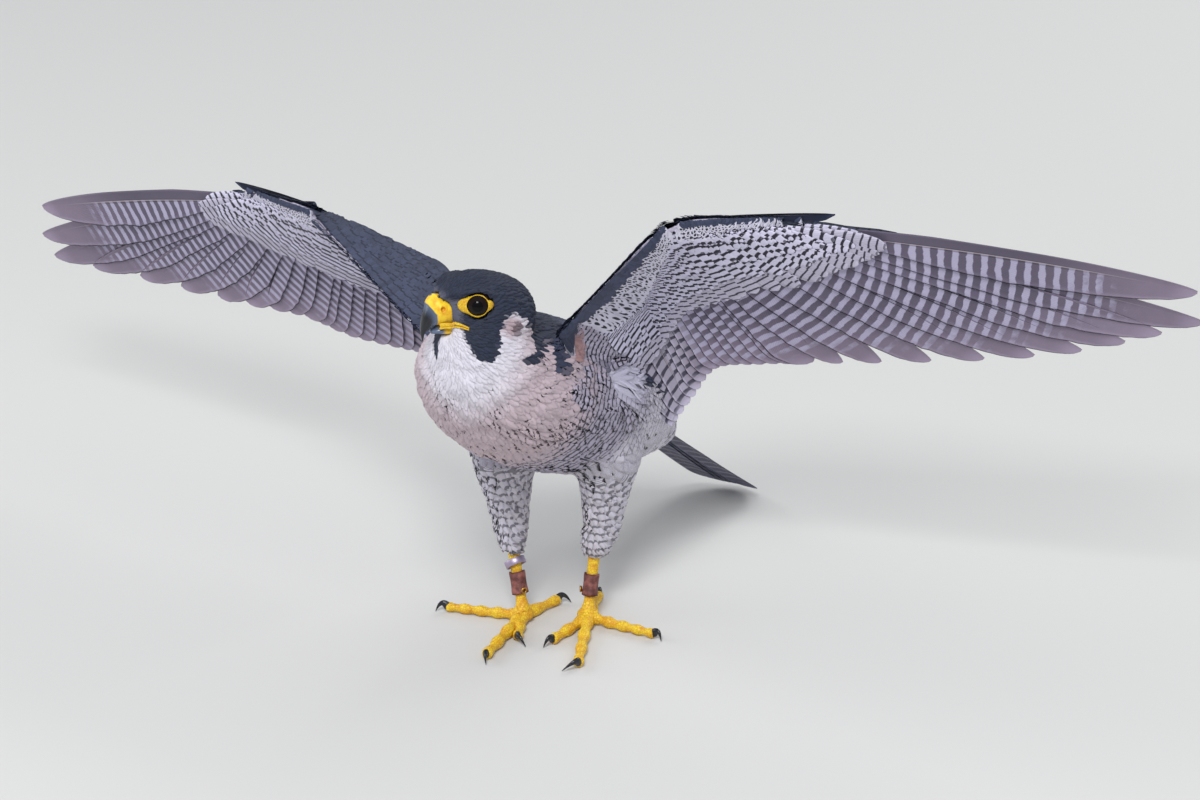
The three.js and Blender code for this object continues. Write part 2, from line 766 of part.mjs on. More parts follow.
// One cross section of the arm: front edge, web of skin, bone, muscle and the coverts' rear edge.
function armRing(front, bone, rear, webNormal, rearNormal, half, grow) {
  const boneNormal = webNormal.clone().add(rearNormal).normalize();
  const stops = [
    [front, webNormal, half[0]],
    [front.clone().lerp(bone, WEB_SHARE), webNormal, half[1]],
    [bone, boneNormal, half[2]],
    [bone.clone().lerp(rear, MUSCLE_SHARE), rearNormal, half[3]],
    [rear, rearNormal, half[4]],
  ];
  const top = stops.map(([p, n, h]) => p.clone().addScaledVector(n, h + grow));
  const bottom = stops.map(([p, n, h]) => p.clone().addScaledVector(n, -h - grow));
  const ahead = front.clone().sub(bone).normalize();
  const nose = front.clone().addScaledVector(ahead, half[0] + grow);
  const tail = rear.clone().addScaledVector(ahead, -grow);
  return [nose, ...top, tail, ...bottom.reverse()];
}

// Cross sections of the whole arm at feather numbers from the hand's end to the shoulder.
function armRings(frame, grow) {
  const halfRows = [ARM_HALF.handEnd, ARM_HALF.wrist, ARM_HALF.elbow, ARM_HALF.shoulder];
  const halfKeys = [0, AT_WRIST, AT_ELBOW, FEATHERS + 3];
  return ARM_STATIONS.map((number) => {
    const held = Math.max(0, Math.min(FEATHERS - 1, number));
    const shareHidden = covertShare(held) * ARM_REACH;
    const half = betweenKeys(halfKeys, halfRows, Math.max(0, number));
    let bone = frame.root(held);
    let rear = bone.clone().lerp(frame.tip(held), shareHidden);
    if (number < 0) {
      const out = frame.handEnd.clone().sub(frame.wrist).normalize().multiplyScalar(HAND_OVERHANG);
      bone = bone.add(out);
      rear = rear.add(out.multiplyScalar(HAND_END_DRAW));
      half.forEach((thickness, k) => {
        half[k] = thickness * HAND_END_THIN;
      });
    }
    if (number > FEATHERS - 1) {
      const inward = frame.shoulder.clone().sub(bone);
      bone = bone.add(inward);
      rear = rear.add(inward.multiplyScalar(SHOULDER_DRAW));
    }
    const rearNormal = frame.dorsal(held, shareHidden);
    let front;
    let webNormal;
    if (number <= AT_WRIST) {
      const share = held / AT_WRIST;
      const ahead = frame.across(held, 0).multiplyScalar(2)
        .addScaledVector(frame.shaft(held), -1).normalize();
      const reach = THREE.MathUtils.lerp(HAND_FRONT, frame.frontOuter.distanceTo(frame.wrist), share);
      front = bone.clone().addScaledVector(ahead, reach);
      if (share === 1) {
        front = frame.frontOuter.clone();
      }
      webNormal = rearNormal.clone();
    } else {
      const share = Math.min(1, (number - AT_WRIST) / (FEATHERS + 2 - AT_WRIST));
      front = frame.frontOuter.clone().lerp(frame.frontInner, share);
      const chordwise = front.clone().sub(bone);
      const spanwise = frame.frontOuter.clone().sub(frame.frontInner);
      webNormal = spanwise.cross(chordwise).multiplyScalar(-frame.side).normalize();
      const blend = Math.min(1, (number - AT_WRIST) / WEB_BLEND);
      webNormal = rearNormal.clone().lerp(webNormal, blend).normalize();
    }
    return armRing(front, bone, rear, webNormal, rearNormal, half, grow);
  });
}

function armCore(frame, grow = 0) {
  return solid(loft(armRings(frame, grow)));
}

// Planes that part the arm at the wrist and the elbow, facing the wing's tip.
function jointPlane(frame, number) {
  const normal = frame.across(number, 0.5);
  return { point: frame.root(number), normal };
}

function buildWing(wing, label) {
  const frame = wingFrame(wing);
  const core = armCore(frame);
  const wristPlane = jointPlane(frame, AT_WRIST);
  const elbowPlane = jointPlane(frame, AT_ELBOW);
  const feathers = (first, last) => {
    const vanes = [];
    for (let number = first; number < last; number += 1) {
      vanes.push(flightFeather(frame, number));
    }
    for (let number = first + 0.5; number < last; number += COVERT.over) {
      vanes.push(covert(frame, number, COVERT_LIFT.above));
      vanes.push(covert(frame, number, COVERT_LIFT.below));
    }
    return vanes;
  };
  const clearOf = trunk(GAP);
  const hand = keepSide(fuse([core, ...feathers(0, PRIMARIES)]), wristPlane.point, wristPlane.normal);
  addNode(`wing_${label}_hand`, hand, COLOURS.vane, 0.7);
  const forearmWhole = fuse([core, ...feathers(PRIMARIES, PRIMARIES + SECONDARIES)]);
  const forearmIn = keepSide(forearmWhole, wristPlane.point, reversed(wristPlane.normal));
  const forearm = keepSide(forearmIn, elbowPlane.point, elbowPlane.normal);
  addNode(`wing_${label}_forearm`, forearm.subtract(clearOf), COLOURS.vane, 0.7);
  const upperWhole = fuse([core, ...feathers(PRIMARIES + SECONDARIES, FEATHERS)]);
  const upper = keepSide(upperWhole, elbowPlane.point, reversed(elbowPlane.normal));
  addNode(`wing_${label}_upper_arm`, upper.subtract(clearOf), COLOURS.slate, 0.75);
}

// Thumb feathers: a short fan that lies along the front of the hand, above it.
function buildAlula(wing, label) {
  const frame = wingFrame(wing);
  const number = ALULA.over;
  const dorsal = frame.dorsal(number, 0);
  const handRun = frame.handEnd.clone().sub(frame.wrist).normalize();
  const ahead = frame.across(number, 0).addScaledVector(frame.shaft(number), -1).normalize();
  const start = frame.wrist.clone().lerp(frame.handEnd, ALULA.root)
    .addScaledVector(dorsal, ALULA.lift)
    .addScaledVector(ahead, ALULA.ahead);
  const vanes = ALULA.lengths.map((length, i) => {
    const run = handRun.clone().addScaledVector(dorsal, ALULA.rise)
      .addScaledVector(ahead, -ALULA.splay * i).normalize();
    const across = ahead.clone().addScaledVector(run, -ahead.dot(run)).normalize();
    const outward = across.addScaledVector(dorsal, ALULA.slope);
    const frontEdge = [];
    const rearEdge = [];
    for (let k = 0; k < ALULA.steps; k += 1) {
      const share = k / (ALULA.steps - 1);
      const outline = vaneOutline(share, ALULA.tipFrom, ALULA.tipWidth);
      const middle = start.clone().addScaledVector(run, length * share)
        .addScaledVector(dorsal, i * ALULA.step);
      frontEdge.push(middle.clone().addScaledVector(outward, ALULA.front * outline));
      rearEdge.push(middle.clone().addScaledVector(outward, -ALULA.rear * outline));
    }
    return plate(frontEdge, rearEdge, frontEdge.map(() => dorsal), VANE_THICKNESS);
  });
  const thumb = [0, 0.5, 1].map((share) => {
    const centre = start.clone().addScaledVector(handRun, ALULA.thumbLength * share - ALULA.thumbBack);
    const radius = THREE.MathUtils.lerp(ALULA.thumbRadii[0], ALULA.thumbRadii[1], share);
    return oval(centre, ahead, dorsal, radius * 1.3, radius, 8);
  });
  const alula = fuse([...vanes, solid(loft(thumb))]).subtract(armCore(frame, GAP));
  addNode(`wing_${label}_alula`, alula, COLOURS.vane, 0.7);
}

// Tail

function tailShaft(number) {
  const spread = number / (TAIL_FEATHERS - 1) - 0.5;
  const root = TAIL_ROOT.clone();
  root.x += TAIL_ROOT_WIDTH * spread;
  const tip = TAIL_TIP.clone();
  tip.x += TAIL_TIP_WIDTH * spread;
  const short = TAIL_OUTER_SHORTFALL * (2 * spread) ** 2;
  tip.addScaledVector(tip.clone().sub(root).normalize(), -short);
  return { root, tip };
}

// Tail feathers lie in a low roof: the middle pair on top, each next pair under the last.
function tailFeather(number) {
  const { root, tip } = tailShaft(number);
  const side = number < TAIL_FEATHERS / 2 ? -1 : 1;
  const rank = side < 0 ? TAIL_FEATHERS / 2 - 1 - number : number - TAIL_FEATHERS / 2;
  const run = tip.clone().sub(root).normalize();
  const across = new THREE.Vector3(side, 0, 0);
  const up = run.clone().cross(new THREE.Vector3(1, 0, 0)).normalize().negate();
  if (up.z < 0) {
    up.negate();
  }
  const edges = [[], [], []];
  const drop = -rank * TAIL_LAYER - (side < 0 ? TAIL_LAYER / 2 : 0);
  for (let i = 0; i < TAIL_STEPS; i += 1) {
    const share = i / (TAIL_STEPS - 1);
    const bunched = 1 - (1 - share) ** TAIL_BUNCH;
    const outline = vaneOutline(bunched, TAIL_TIP_FROM, TAIL_TIP_SHARE);
    const middle = root.clone().lerp(tip, bunched).addScaledVector(up, drop + TAIL_LIFT);
    edges[0].push(middle.clone().addScaledVector(across, TAIL_FRONT * outline));
    edges[1].push(middle.clone().addScaledVector(across, -TAIL_REAR * outline));
    edges[2].push(up);
  }
  return plate(edges[0], edges[1], edges[2], VANE_THICKNESS);
}

function buildTail() {
  const vanes = [];
  for (let number = 0; number < TAIL_FEATHERS; number += 1) {
    vanes.push(tailFeather(number));
  }
  const rump = solid(ovalRun(RUMP, 6, 14, 0));
  const tail = fuse([rump, ...vanes]).subtract(trunk(GAP));
  addNode("tail", tail.trimByPlane([0, 0, 1], 0), COLOURS.vane, 0.7);
}

// Legs and feet

function thighOf(leg, grow = 0) {
  return solid(ovalRun(leg.thigh, 8, 14, grow));
}

function tarsusPoint(leg, share) {
  return vec(leg.sole).lerp(vec(leg.tarsusTop), share);
}

function tarsusTube(leg, from, to, growStart, growEnd, sides = TARSUS_SIDES) {
  const run = vec(leg.tarsusTop).sub(vec(leg.sole)).normalize();
  const across = new THREE.Vector3(0, -1, 0).cross(run).normalize();
  const along = run.clone().cross(across);
  const rings = [from, to].map((share, i) => {
    const grow = i === 0 ? growStart : growEnd;
    const radius = THREE.MathUtils.lerp(TARSUS_RADIUS[0], TARSUS_RADIUS[1], share) + grow;
    return oval(tarsusPoint(leg, share), across, along, radius, radius, sides);
  });
  return solid(loft(rings));
}

// One toe lies on the floor from the palm to its last joint, and swells at each joint.
function toeOf(leg, toe, grow = 0) {
  const start = new THREE.Vector3(leg.sole[0], leg.sole[1], PALM.height * 0.7);
  const end = new THREE.Vector3(toe.tip[0], toe.tip[1], toe.radius * TOE_TIP);
  const steps = 2 * toe.joints + 3;
  const run = end.clone().sub(start).normalize();
  const upright = new THREE.Vector3(0, 0, 1);
  const across = upright.clone().cross(run).normalize();
  const rings = [];
  for (let i = 0; i <= steps; i += 1) {
    const share = i / steps;
    const wave = Math.cos(2 * Math.PI * (toe.joints + 0.5) * (1 - share));
    const swell = 1 - TOE_SWELL + TOE_SWELL * wave;
    const taper = THREE.MathUtils.lerp(TOE_ROOT, TOE_TIP, share);
    const radius = toe.radius * taper * swell + grow;
    const centre = start.clone().lerp(end, share);
    centre.z = THREE.MathUtils.lerp(start.z, end.z, Math.min(1, share / TOE_LEVEL));
    rings.push(oval(centre, across, upright, radius, radius * 1.04, TOE_SIDES));
  }
  const nose = end.clone().addScaledVector(run, TOE_NOSE);
  const noseWidth = toe.radius * TOE_NOSE_WIDTH;
  rings.push(oval(nose, across, upright, noseWidth, toe.radius * TOE_NOSE_HEIGHT, TOE_SIDES));
  return solid(loft(rings));
}

// A claw starts a gap in front of its toe's flat nose, arches up and comes down to its point.
function clawOf(leg, toe) {
  const end = new THREE.Vector3(toe.tip[0], toe.tip[1], toe.radius * 0.9);
  const run = end.clone().sub(new THREE.Vector3(leg.sole[0], leg.sole[1], end.z)).normalize();
  const base = end.clone().addScaledVector(run, TOE_NOSE + GAP);
  const point = new THREE.Vector3(toe.claw[0], toe.claw[1], CLAW_POINT_HEIGHT);
  const crest = base.clone().addScaledVector(run, 4);
  crest.z = CLAW_ARCH;
  const path = new THREE.QuadraticBezierCurve3(base, crest, point);
  const rings = [];
  for (let i = 0; i <= CLAW_STEPS; i += 1) {
    const share = i / CLAW_STEPS;
    const radius = THREE.MathUtils.lerp(CLAW_RADIUS, CLAW_RADIUS * CLAW_POINT, share ** 1.2);
    const tangent = i === 0 ? run.clone() : path.getTangent(share);
    const across = new THREE.Vector3(0, 0, 1).cross(tangent).normalize();
    const up = tangent.cross(across).normalize();
    rings.push(oval(path.getPoint(share), across, up, radius * CLAW_FLATTEN, radius, CLAW_SIDES));
  }
  return solid(loft(rings));
}

// A cuff round the tarsus, a little flared at both ends.
function cuffOf(leg) {
  const skin = CUFF.thickness + GAP;
  const outer = tarsusTube(leg, CUFF.low, CUFF.high, skin + CUFF.flare, skin, CUFF.sides);
  const bore = tarsusTube(leg, CUFF.low - CUFF.over, CUFF.high + CUFF.over, GAP, GAP, CUFF.sides);
  return outer.subtract(bore);
}

function disc(centre, axis, radius, length, sides) {
  const across = new THREE.Vector3(0, 0, 1).cross(axis).normalize();
  const along = axis.clone().cross(across);
  const rings = [-0.5, 0.5].map((part) => {
    const end = centre.clone().addScaledVector(axis, length * part);
    return oval(end, across, along, radius, radius, sides);
  });
  return solid(loft(rings));
}

function eyeletOf(leg) {
  const angle = THREE.MathUtils.degToRad(EYELET.turn);
  const axis = new THREE.Vector3(-leg.side * Math.sin(angle), -Math.cos(angle), 0);
  const reach = TARSUS_RADIUS[0] + GAP + CUFF.thickness + CUFF.flare + EYELET.length / 2 - 0.4;
  const centre = tarsusPoint(leg, EYELET.share).addScaledVector(axis, reach);
  const grommet = disc(centre, axis, EYELET.radius, EYELET.length, 14);
  const bored = grommet.subtract(disc(centre, axis, EYELET.bore, EYELET.length * 2, 10));
  const clear = tarsusTube(leg, CUFF.low - 0.01, CUFF.high + 0.01, CUFF.thickness + 2 * GAP + CUFF.flare,
    CUFF.thickness + 2 * GAP, CUFF.sides);
  return bored.subtract(clear);
}

function ringOf(leg) {
  const run = vec(leg.tarsusTop).sub(vec(leg.sole)).normalize();
  const axis = run.applyAxisAngle(new THREE.Vector3(0, 1, 0), THREE.MathUtils.degToRad(RING.tilt));
  const centre = tarsusPoint(leg, RING.share);
  const outer = disc(centre, axis, RING.radius, RING.height, RING.sides);
  const bore = disc(centre, axis, RING.radius - RING.wall, RING.height * 2, RING.sides);
  return outer.subtract(bore);
}

function buildLeg(leg) {
  const floor = (body) => body.trimByPlane([0, 0, 1], 0);
  const thigh = thighOf(leg).subtract(trunk(GAP));
  addNode(`leg_${leg.name}_thigh`, thigh, COLOURS.breast, 0.85);
  const tarsus = tarsusTube(leg, TARSUS_LOW, 1, 0, 0).subtract(thighOf(leg, GAP));
  addNode(`leg_${leg.name}_tarsus`, tarsus, COLOURS.yellow, 0.5);
  const palm = solid(new THREE.SphereGeometry(PALM.radius, 10, 7)
    .translate(leg.sole[0], leg.sole[1], PALM.height));
  const toes = Object.values(leg.toes);
  const foot = fuse([palm, ...toes.map((toe) => toeOf(leg, toe))]);
  addNode(`leg_${leg.name}_foot`, floor(foot.subtract(tarsusTube(leg, TARSUS_LOW - 0.01, 1, GAP, GAP))),
    COLOURS.yellow, 0.5);
  for (const [name, toe] of Object.entries(leg.toes)) {
    addNode(`claw_${leg.name}_${name}`, floor(clawOf(leg, toe)), COLOURS.horn, 0.3);
  }
  addNode(`cuff_${leg.name}`, cuffOf(leg), COLOURS.leather, 0.65);
  addNode(`eyelet_${leg.name}`, eyeletOf(leg), COLOURS.brass, 0.35, 1);
}

buildTorso();
buildHead();
buildTail();
for (const [wing, label] of [[LEFT_WING, "left"], [RIGHT_WING, "right"]]) {
  buildWing(wing, label);
  buildAlula(wing, label);
}
buildLeg(LEFT_LEG);
buildLeg(RIGHT_LEG);
addNode("leg_ring", ringOf(RIGHT_LEG), COLOURS.metal, 0.4, 1);

const outline = new THREE.Box3().setFromObject(group);
const middle = outline.getCenter(new THREE.Vector3());
group.position.set(-middle.x, -middle.y, 0);

export default group;
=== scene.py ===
# %% [markdown]
# # A male peregrine falcon with open wings
# The bird stands on both feet with its wings spread and its tail down to the floor. A feathered
# animal is made from the inside out: a closed skin, then the flight and tail feathers, then
# the small feathers in their tiers, and last the bare parts, which are bill, eyes and feet.

# %% Tools and the frame
import json
import math
from collections import namedtuple
from itertools import product

import bpy
import numpy as np
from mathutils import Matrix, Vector
from mathutils.bvhtree import BVHTree

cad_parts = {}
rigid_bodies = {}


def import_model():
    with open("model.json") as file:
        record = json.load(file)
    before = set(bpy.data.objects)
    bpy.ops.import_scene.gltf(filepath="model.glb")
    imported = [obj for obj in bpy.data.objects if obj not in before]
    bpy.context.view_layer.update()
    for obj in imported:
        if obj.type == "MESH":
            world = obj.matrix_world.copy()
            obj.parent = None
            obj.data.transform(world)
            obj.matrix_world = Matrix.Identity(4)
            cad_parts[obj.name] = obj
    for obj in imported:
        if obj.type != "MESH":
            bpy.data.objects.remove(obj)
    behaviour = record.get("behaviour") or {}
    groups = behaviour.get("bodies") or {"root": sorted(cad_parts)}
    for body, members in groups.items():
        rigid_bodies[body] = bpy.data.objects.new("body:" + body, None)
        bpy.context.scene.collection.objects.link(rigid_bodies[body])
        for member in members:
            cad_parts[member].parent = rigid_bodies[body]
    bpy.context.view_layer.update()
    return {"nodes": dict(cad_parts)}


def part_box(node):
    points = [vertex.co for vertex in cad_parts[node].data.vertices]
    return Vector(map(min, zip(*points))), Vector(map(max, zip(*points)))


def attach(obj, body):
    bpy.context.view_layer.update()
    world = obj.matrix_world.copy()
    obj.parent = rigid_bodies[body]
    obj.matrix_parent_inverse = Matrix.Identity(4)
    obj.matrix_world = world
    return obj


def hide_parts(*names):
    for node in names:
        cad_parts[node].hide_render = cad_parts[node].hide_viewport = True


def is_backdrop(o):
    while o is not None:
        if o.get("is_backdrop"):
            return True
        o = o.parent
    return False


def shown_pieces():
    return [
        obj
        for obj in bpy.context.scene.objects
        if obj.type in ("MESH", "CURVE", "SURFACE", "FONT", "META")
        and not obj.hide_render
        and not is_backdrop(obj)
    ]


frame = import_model()
bpy.ops.object.select_all(action="DESELECT")
draw = np.random.default_rng(11)
print("nodes in the frame:", len(frame["nodes"]))

# %% [markdown]
# Sizes are in millimetres, in the bird's own space, where x runs to its left, y to its tail
# and z up. The frame may stand elsewhere, so one known point, the middle of the left eye, gives
# the shift between the two. The head has axes of its own, because it is turned to its right.

# %% Millimetres and the head's axes
MM = 0.001
SIDES = {"left": 1, "right": -1}
HEAD_CENTRE = np.array([-0.6, -76.2, 228.0])
HEAD_YAW = math.radians(32)
HEAD_PITCH = math.radians(6)
EYE_PLACE = (12.2, 13.6, 7.2)


def unit(vectors):
    vectors = np.asarray(vectors, float)
    lengths = np.linalg.norm(vectors, axis=-1, keepdims=True)
    return vectors / np.maximum(lengths, 1e-9)


head_forward = np.array([
    -math.sin(HEAD_YAW) * math.cos(HEAD_PITCH),
    -math.cos(HEAD_YAW) * math.cos(HEAD_PITCH),
    math.sin(HEAD_PITCH),
])
head_left = unit(np.cross([0, 0, 1], head_forward))
head_up = np.cross(head_forward, head_left)


def in_head(forward, sideways, up):
    return HEAD_CENTRE + forward * head_forward + sideways * head_left + up * head_up


def on_side(place, side):
    """A point on the head's left (1) or right (-1)."""
    forward, sideways, up = place
    return in_head(forward, side * sideways, up)


eye_low, eye_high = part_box("eye_left")
shift = (np.array(eye_low) + np.array(eye_high)) / 2 / MM - in_head(*EYE_PLACE)
print("shift in mm:", shift.round(2))

# %% [markdown]
# A smooth curve through a few rows of numbers gives most of the bird's lines: the ends of its
# feathers, the bill's ridge and the leg. The curve passes through every row, so a size can be
# read off the bird and typed in. Sheets of points then become meshes.

# %% Curves, steps and new meshes


def row_at(rows, share):
    rows = np.asarray(rows, float)
    at = min(max(share, 0.0), 1.0) * (len(rows) - 1)
    i = min(int(at), len(rows) - 2)
    t = at - i
    a, b, c, d = (rows[min(max(k, 0), len(rows) - 1)] for k in (i - 1, i, i + 1, i + 2))
    return b + 0.5 * t * (c - a + t * (2 * a - 5 * b + 4 * c - d + t * (3 * (b - c) + d - a)))


def row_at_key(keys, rows, key):
    i = 0
    while i < len(keys) - 2 and key > keys[i + 1]:
        i += 1
    return row_at(rows, (i + (key - keys[i]) / (keys[i + 1] - keys[i])) / (len(keys) - 1))


def step(low, high, value):
    share = np.clip((np.asarray(value, float) - low) / (high - low), 0, 1)
    return share * share * (3 - 2 * share)


def new_piece(name, points, faces):
    mesh = bpy.data.meshes.new(name)
    mesh.from_pydata(((np.asarray(points) + shift) * MM).tolist(), [], faces)
    mesh.shade_smooth()
    piece = bpy.data.objects.new(name, mesh)
    bpy.context.scene.collection.objects.link(piece)
    return piece


def vertex_values(piece, key):
    flat = np.zeros(len(piece.data.vertices) * 3)
    piece.data.vertices.foreach_get(key, flat)
    return flat.reshape(-1, 3)


def own_points(piece):
    return vertex_values(piece, "co") / MM - shift


def set_points(piece, points):
    piece.data.vertices.foreach_set("co", ((points + shift) * MM).ravel())
    piece.data.update()


def columns(*values):
    """One row for each feather, from columns that are lists or single numbers."""
    return np.stack(np.broadcast_arrays(*values), 1).astype(float)


def circle(count):
    return np.arange(count) * 2 * math.pi / count


def tube_faces(rings, sides):
    faces = []
    for i in range(rings - 1):
        for j in range(sides):
            k = (j + 1) % sides
            faces.append((i * sides + j, i * sides + k, (i + 1) * sides + k, (i + 1) * sides + j))
    faces.append(tuple(range(sides))[::-1])
    faces.append(tuple(range((rings - 1) * sides, rings * sides)))
    return faces


def oval(centre, across, along, half_width, half_depth, sides):
    angles = circle(sides)
    sideways = np.outer(np.cos(angles) * half_width, across)
    return centre + sideways + np.outer(np.sin(angles) * half_depth, along)


def select_only(*pieces):
    bpy.ops.object.select_all(action="DESELECT")
    for piece in pieces:
        piece.select_set(True)
    bpy.context.view_layer.objects.active = pieces[0]


def edit_mesh(piece, operator, **settings):
    """Runs one operator on the whole mesh of a piece."""
    select_only(piece)
    bpy.ops.object.mode_set(mode="EDIT")
    bpy.ops.mesh.select_all(action="SELECT")
    operator(**settings)
    bpy.ops.object.mode_set(mode="OBJECT")
    piece.select_set(False)


def loft(name, rings):
    rings = np.asarray(rings)
    piece = new_piece(name, rings.reshape(-1, 3), tube_faces(*rings.shape[:2]))
    edit_mesh(piece, bpy.ops.mesh.normals_make_consistent, inside=False)
    return piece


def apply_modifier(piece, kind, **settings):
    modifier = piece.modifiers.new(kind.title(), kind)
    for name, value in settings.items():
        setattr(modifier, name, value)
    select_only(piece)
    bpy.ops.object.modifier_apply(modifier=modifier.name)
    piece.select_set(False)


def join(pieces, name):
    select_only(*pieces)
    bpy.ops.object.join()
    joined = bpy.context.view_layer.objects.active
    joined.name = name
    joined.select_set(False)
    return joined


# %% [markdown]
# A wing is drawn by its bones and by the tips of a few key feathers. Feathers count from the
# outermost primary, number 0, to the innermost tertial, number 25: ten primaries sit on the
# hand, twelve secondaries on the forearm and four tertials by the elbow. Any feather between
# two key ones is read off the curve, so the whole fan stays even.

# %% Bones and feather lines of a wing
PRIMARIES = 10
SECONDARIES = 12
TERTIALS = 4
FEATHERS = PRIMARIES + SECONDARIES + TERTIALS
KEY_FEATHERS = [0, 1, 2, 4, 6, 8, 10, 13, 17, 21, 25]
AT_WRIST = PRIMARIES - 0.5
AT_ELBOW = PRIMARIES + SECONDARIES - 0.5
COVERT_SHARE = [0.24, 0.24, 0.26, 0.3, 0.36, 0.42, 0.46, 0.44, 0.42, 0.44, 0.5]
HAND_FRONT = 7
HAND_OVERHANG = 10


def covert_share(number):
    """How much of a flight feather its coverts hide."""
    return row_at_key(KEY_FEATHERS, [[share] for share in COVERT_SHARE], number)[0]


class Wing:
    """The lines of one wing: joints, feather roots and tips, and the way each feather faces."""

    def __init__(self, side, shoulder, elbow, wrist, hand_end, front_inner, front_outer, tips):
        self.side = side
        self.tips = tips
        self.shoulder, self.elbow = np.array(shoulder, float), np.array(elbow, float)
        self.wrist, self.hand_end = np.array(wrist, float), np.array(hand_end, float)
        self.front_inner = np.array(front_inner, float)
        self.front_outer = np.array(front_outer, float)

    def tip(self, number):
        return row_at_key(KEY_FEATHERS, self.tips, number)

    def root(self, number):
        if number <= AT_WRIST:
            return self.wrist + (self.hand_end - self.wrist) * (1 - 0.96 * number / AT_WRIST)
        if number <= AT_ELBOW:
            share = max((number - AT_WRIST) / SECONDARIES, 0.02)
            return self.wrist + (self.elbow - self.wrist) * share
        share = 0.6 * (number - AT_ELBOW) / TERTIALS
        return self.elbow + (self.shoulder - self.elbow) * share

    def shaft(self, number):
        return unit(self.tip(number) - self.root(number))

    def step_ahead(self, number, share):
        ahead, behind = max(0, number - 0.5), min(FEATHERS - 1, number + 0.5)
        first = self.root(ahead) * (1 - share) + self.tip(ahead) * share
        second = self.root(behind) * (1 - share) + self.tip(behind) * share
        out = (first - second) / (behind - ahead)
        along = self.shaft(number)
        return out - along * (out @ along)

    def dorsal(self, number, share):
        across = unit(self.step_ahead(number, share))
        return unit(np.cross(across, self.shaft(number)) * self.side)

    def front(self, number):
        """The leading edge of the arm at a feather's number."""
        held = min(max(number, 0), FEATHERS - 1)
        if number <= AT_WRIST:
            share = held / AT_WRIST
            ahead = unit(2 * unit(self.step_ahead(held, 0)) - self.shaft(held))
            wide = np.linalg.norm(self.front_outer - self.wrist)
            return self.root(held) + ahead * (HAND_FRONT + (wide - HAND_FRONT) * share)
        share = min(1, (number - AT_WRIST) / (FEATHERS + 2 - AT_WRIST))
        return self.front_outer + (self.front_inner - self.front_outer) * share


left_wing = Wing(
    1, (30, -42, 193), (41, 27, 206), (81, -7, 266), (137, 21, 268), (36, -58, 212),
    (80, -15, 273),
    [(356, 102, 249), (356, 115, 226), (332, 113, 215), (286, 108, 196), (230, 98, 182),
     (170, 86, 171), (128, 78, 164), (100, 73, 159), (73, 65, 153), (57, 65, 131), (49, 53, 115)],
)
right_wing = Wing(
    -1, (-32, -42, 193), (-83, 0, 203), (-151, -16, 230), (-212, 4, 222), (-44, -68, 194),
    (-152, -24, 234),
    [(-415, 57, 163), (-427, 71, 137), (-426, 81, 119), (-350, 71, 123), (-283, 62, 126),
     (-238, 54, 131), (-209, 52, 131), (-182, 55, 124), (-141, 54, 124), (-111, 51, 125),
     (-84, 50, 118)],
)
wings = {"left": left_wing, "right": right_wing}
for label, wing in wings.items():
    longest = np.linalg.norm(wing.tip(1) - wing.root(1))
    print(label, "longest primary in mm:", round(float(longest)))

# %% [markdown]
# The arm inside a wing is flat: a thin web of skin in front, the bones, then the muscle that
# holds the quills. Here it is lofted through cross sections from the hand to the shoulder. The
# same thickness table tells the small feathers how far they stand off the wing's middle.

# %% The arm inside each wing
ARM_STATIONS = [-1.4, 0, 3, 6, AT_WRIST, 12, 15, 18, AT_ELBOW, 23.5, 25, 28]
ARM_REACH = 0.66
ARM_HALF_KEYS = [0, AT_WRIST, AT_ELBOW, FEATHERS + 3]
ARM_HALF = [
    [1.2, 1.8, 3, 2.4, 1.5],
    [2.2, 3.6, 6, 4.2, 2.1],
    [1.6, 2.4, 7.5, 5, 2.2],
    [2.2, 3.4, 8.5, 6, 2.2],
]


def arm_half(number):
    return row_at_key(ARM_HALF_KEYS, ARM_HALF, min(max(number, 0), FEATHERS + 3))


def arm_section(wing, number):
    held = min(max(number, 0), FEATHERS - 1)
    reach = covert_share(held) * ARM_REACH
    half = arm_half(number)
    bone = wing.root(held)
    rear = bone + (wing.tip(held) - bone) * reach
    front = wing.front(number)
    if number < 0:
        out = unit(wing.hand_end - wing.wrist) * HAND_OVERHANG
        bone, rear, front = bone + out, rear + out * 0.6, front + out
        half = half * 0.5
    if number > FEATHERS - 1:
        inward = wing.shoulder - bone
        bone, rear = bone + inward, rear + inward * 0.75
    rear_normal = wing.dorsal(held, reach)
    web_normal = rear_normal
    if number > AT_WRIST:
        chord = front - bone
        own = unit(np.cross(wing.front_outer - wing.front_inner, chord) * -wing.side)
        blend = min(1, (number - AT_WRIST) / 4)
        web_normal = unit(rear_normal * (1 - blend) + own * blend)
    bone_normal = unit(web_normal + rear_normal)
    stops = [
        (front, web_normal, half[0]),
        (front * 0.55 + bone * 0.45, web_normal, half[1]),
        (bone, bone_normal, half[2]),
        (bone * 0.6 + rear * 0.4, rear_normal, half[3]),
        (rear, rear_normal, half[4]),
    ]
    return stops, unit(front - bone)


def arm_ring(wing, number):
    stops, ahead = arm_section(wing, number)
    top = [p + n * h for p, n, h in stops]
    bottom = [p - n * h for p, n, h in stops]
    nose = stops[0][0] + ahead * stops[0][2]
    return np.array([nose, *top, stops[-1][0], *bottom[::-1]])


arms = [
    loft("arm_" + label, [arm_ring(wing, number) for number in ARM_STATIONS])
    for label, wing in wings.items()
]

# %% [markdown]
# One skin carries the whole coat, so no joint between neck, body and thigh can show. The flesh
# of the frame is copied, joined to the arms, and a voxel remesh turns it all into one closed
# surface. Smoothing takes the facets out, and moving it inwards leaves room for the feathers.
# Soft hollows on breast and belly gather the coat there in clumps.

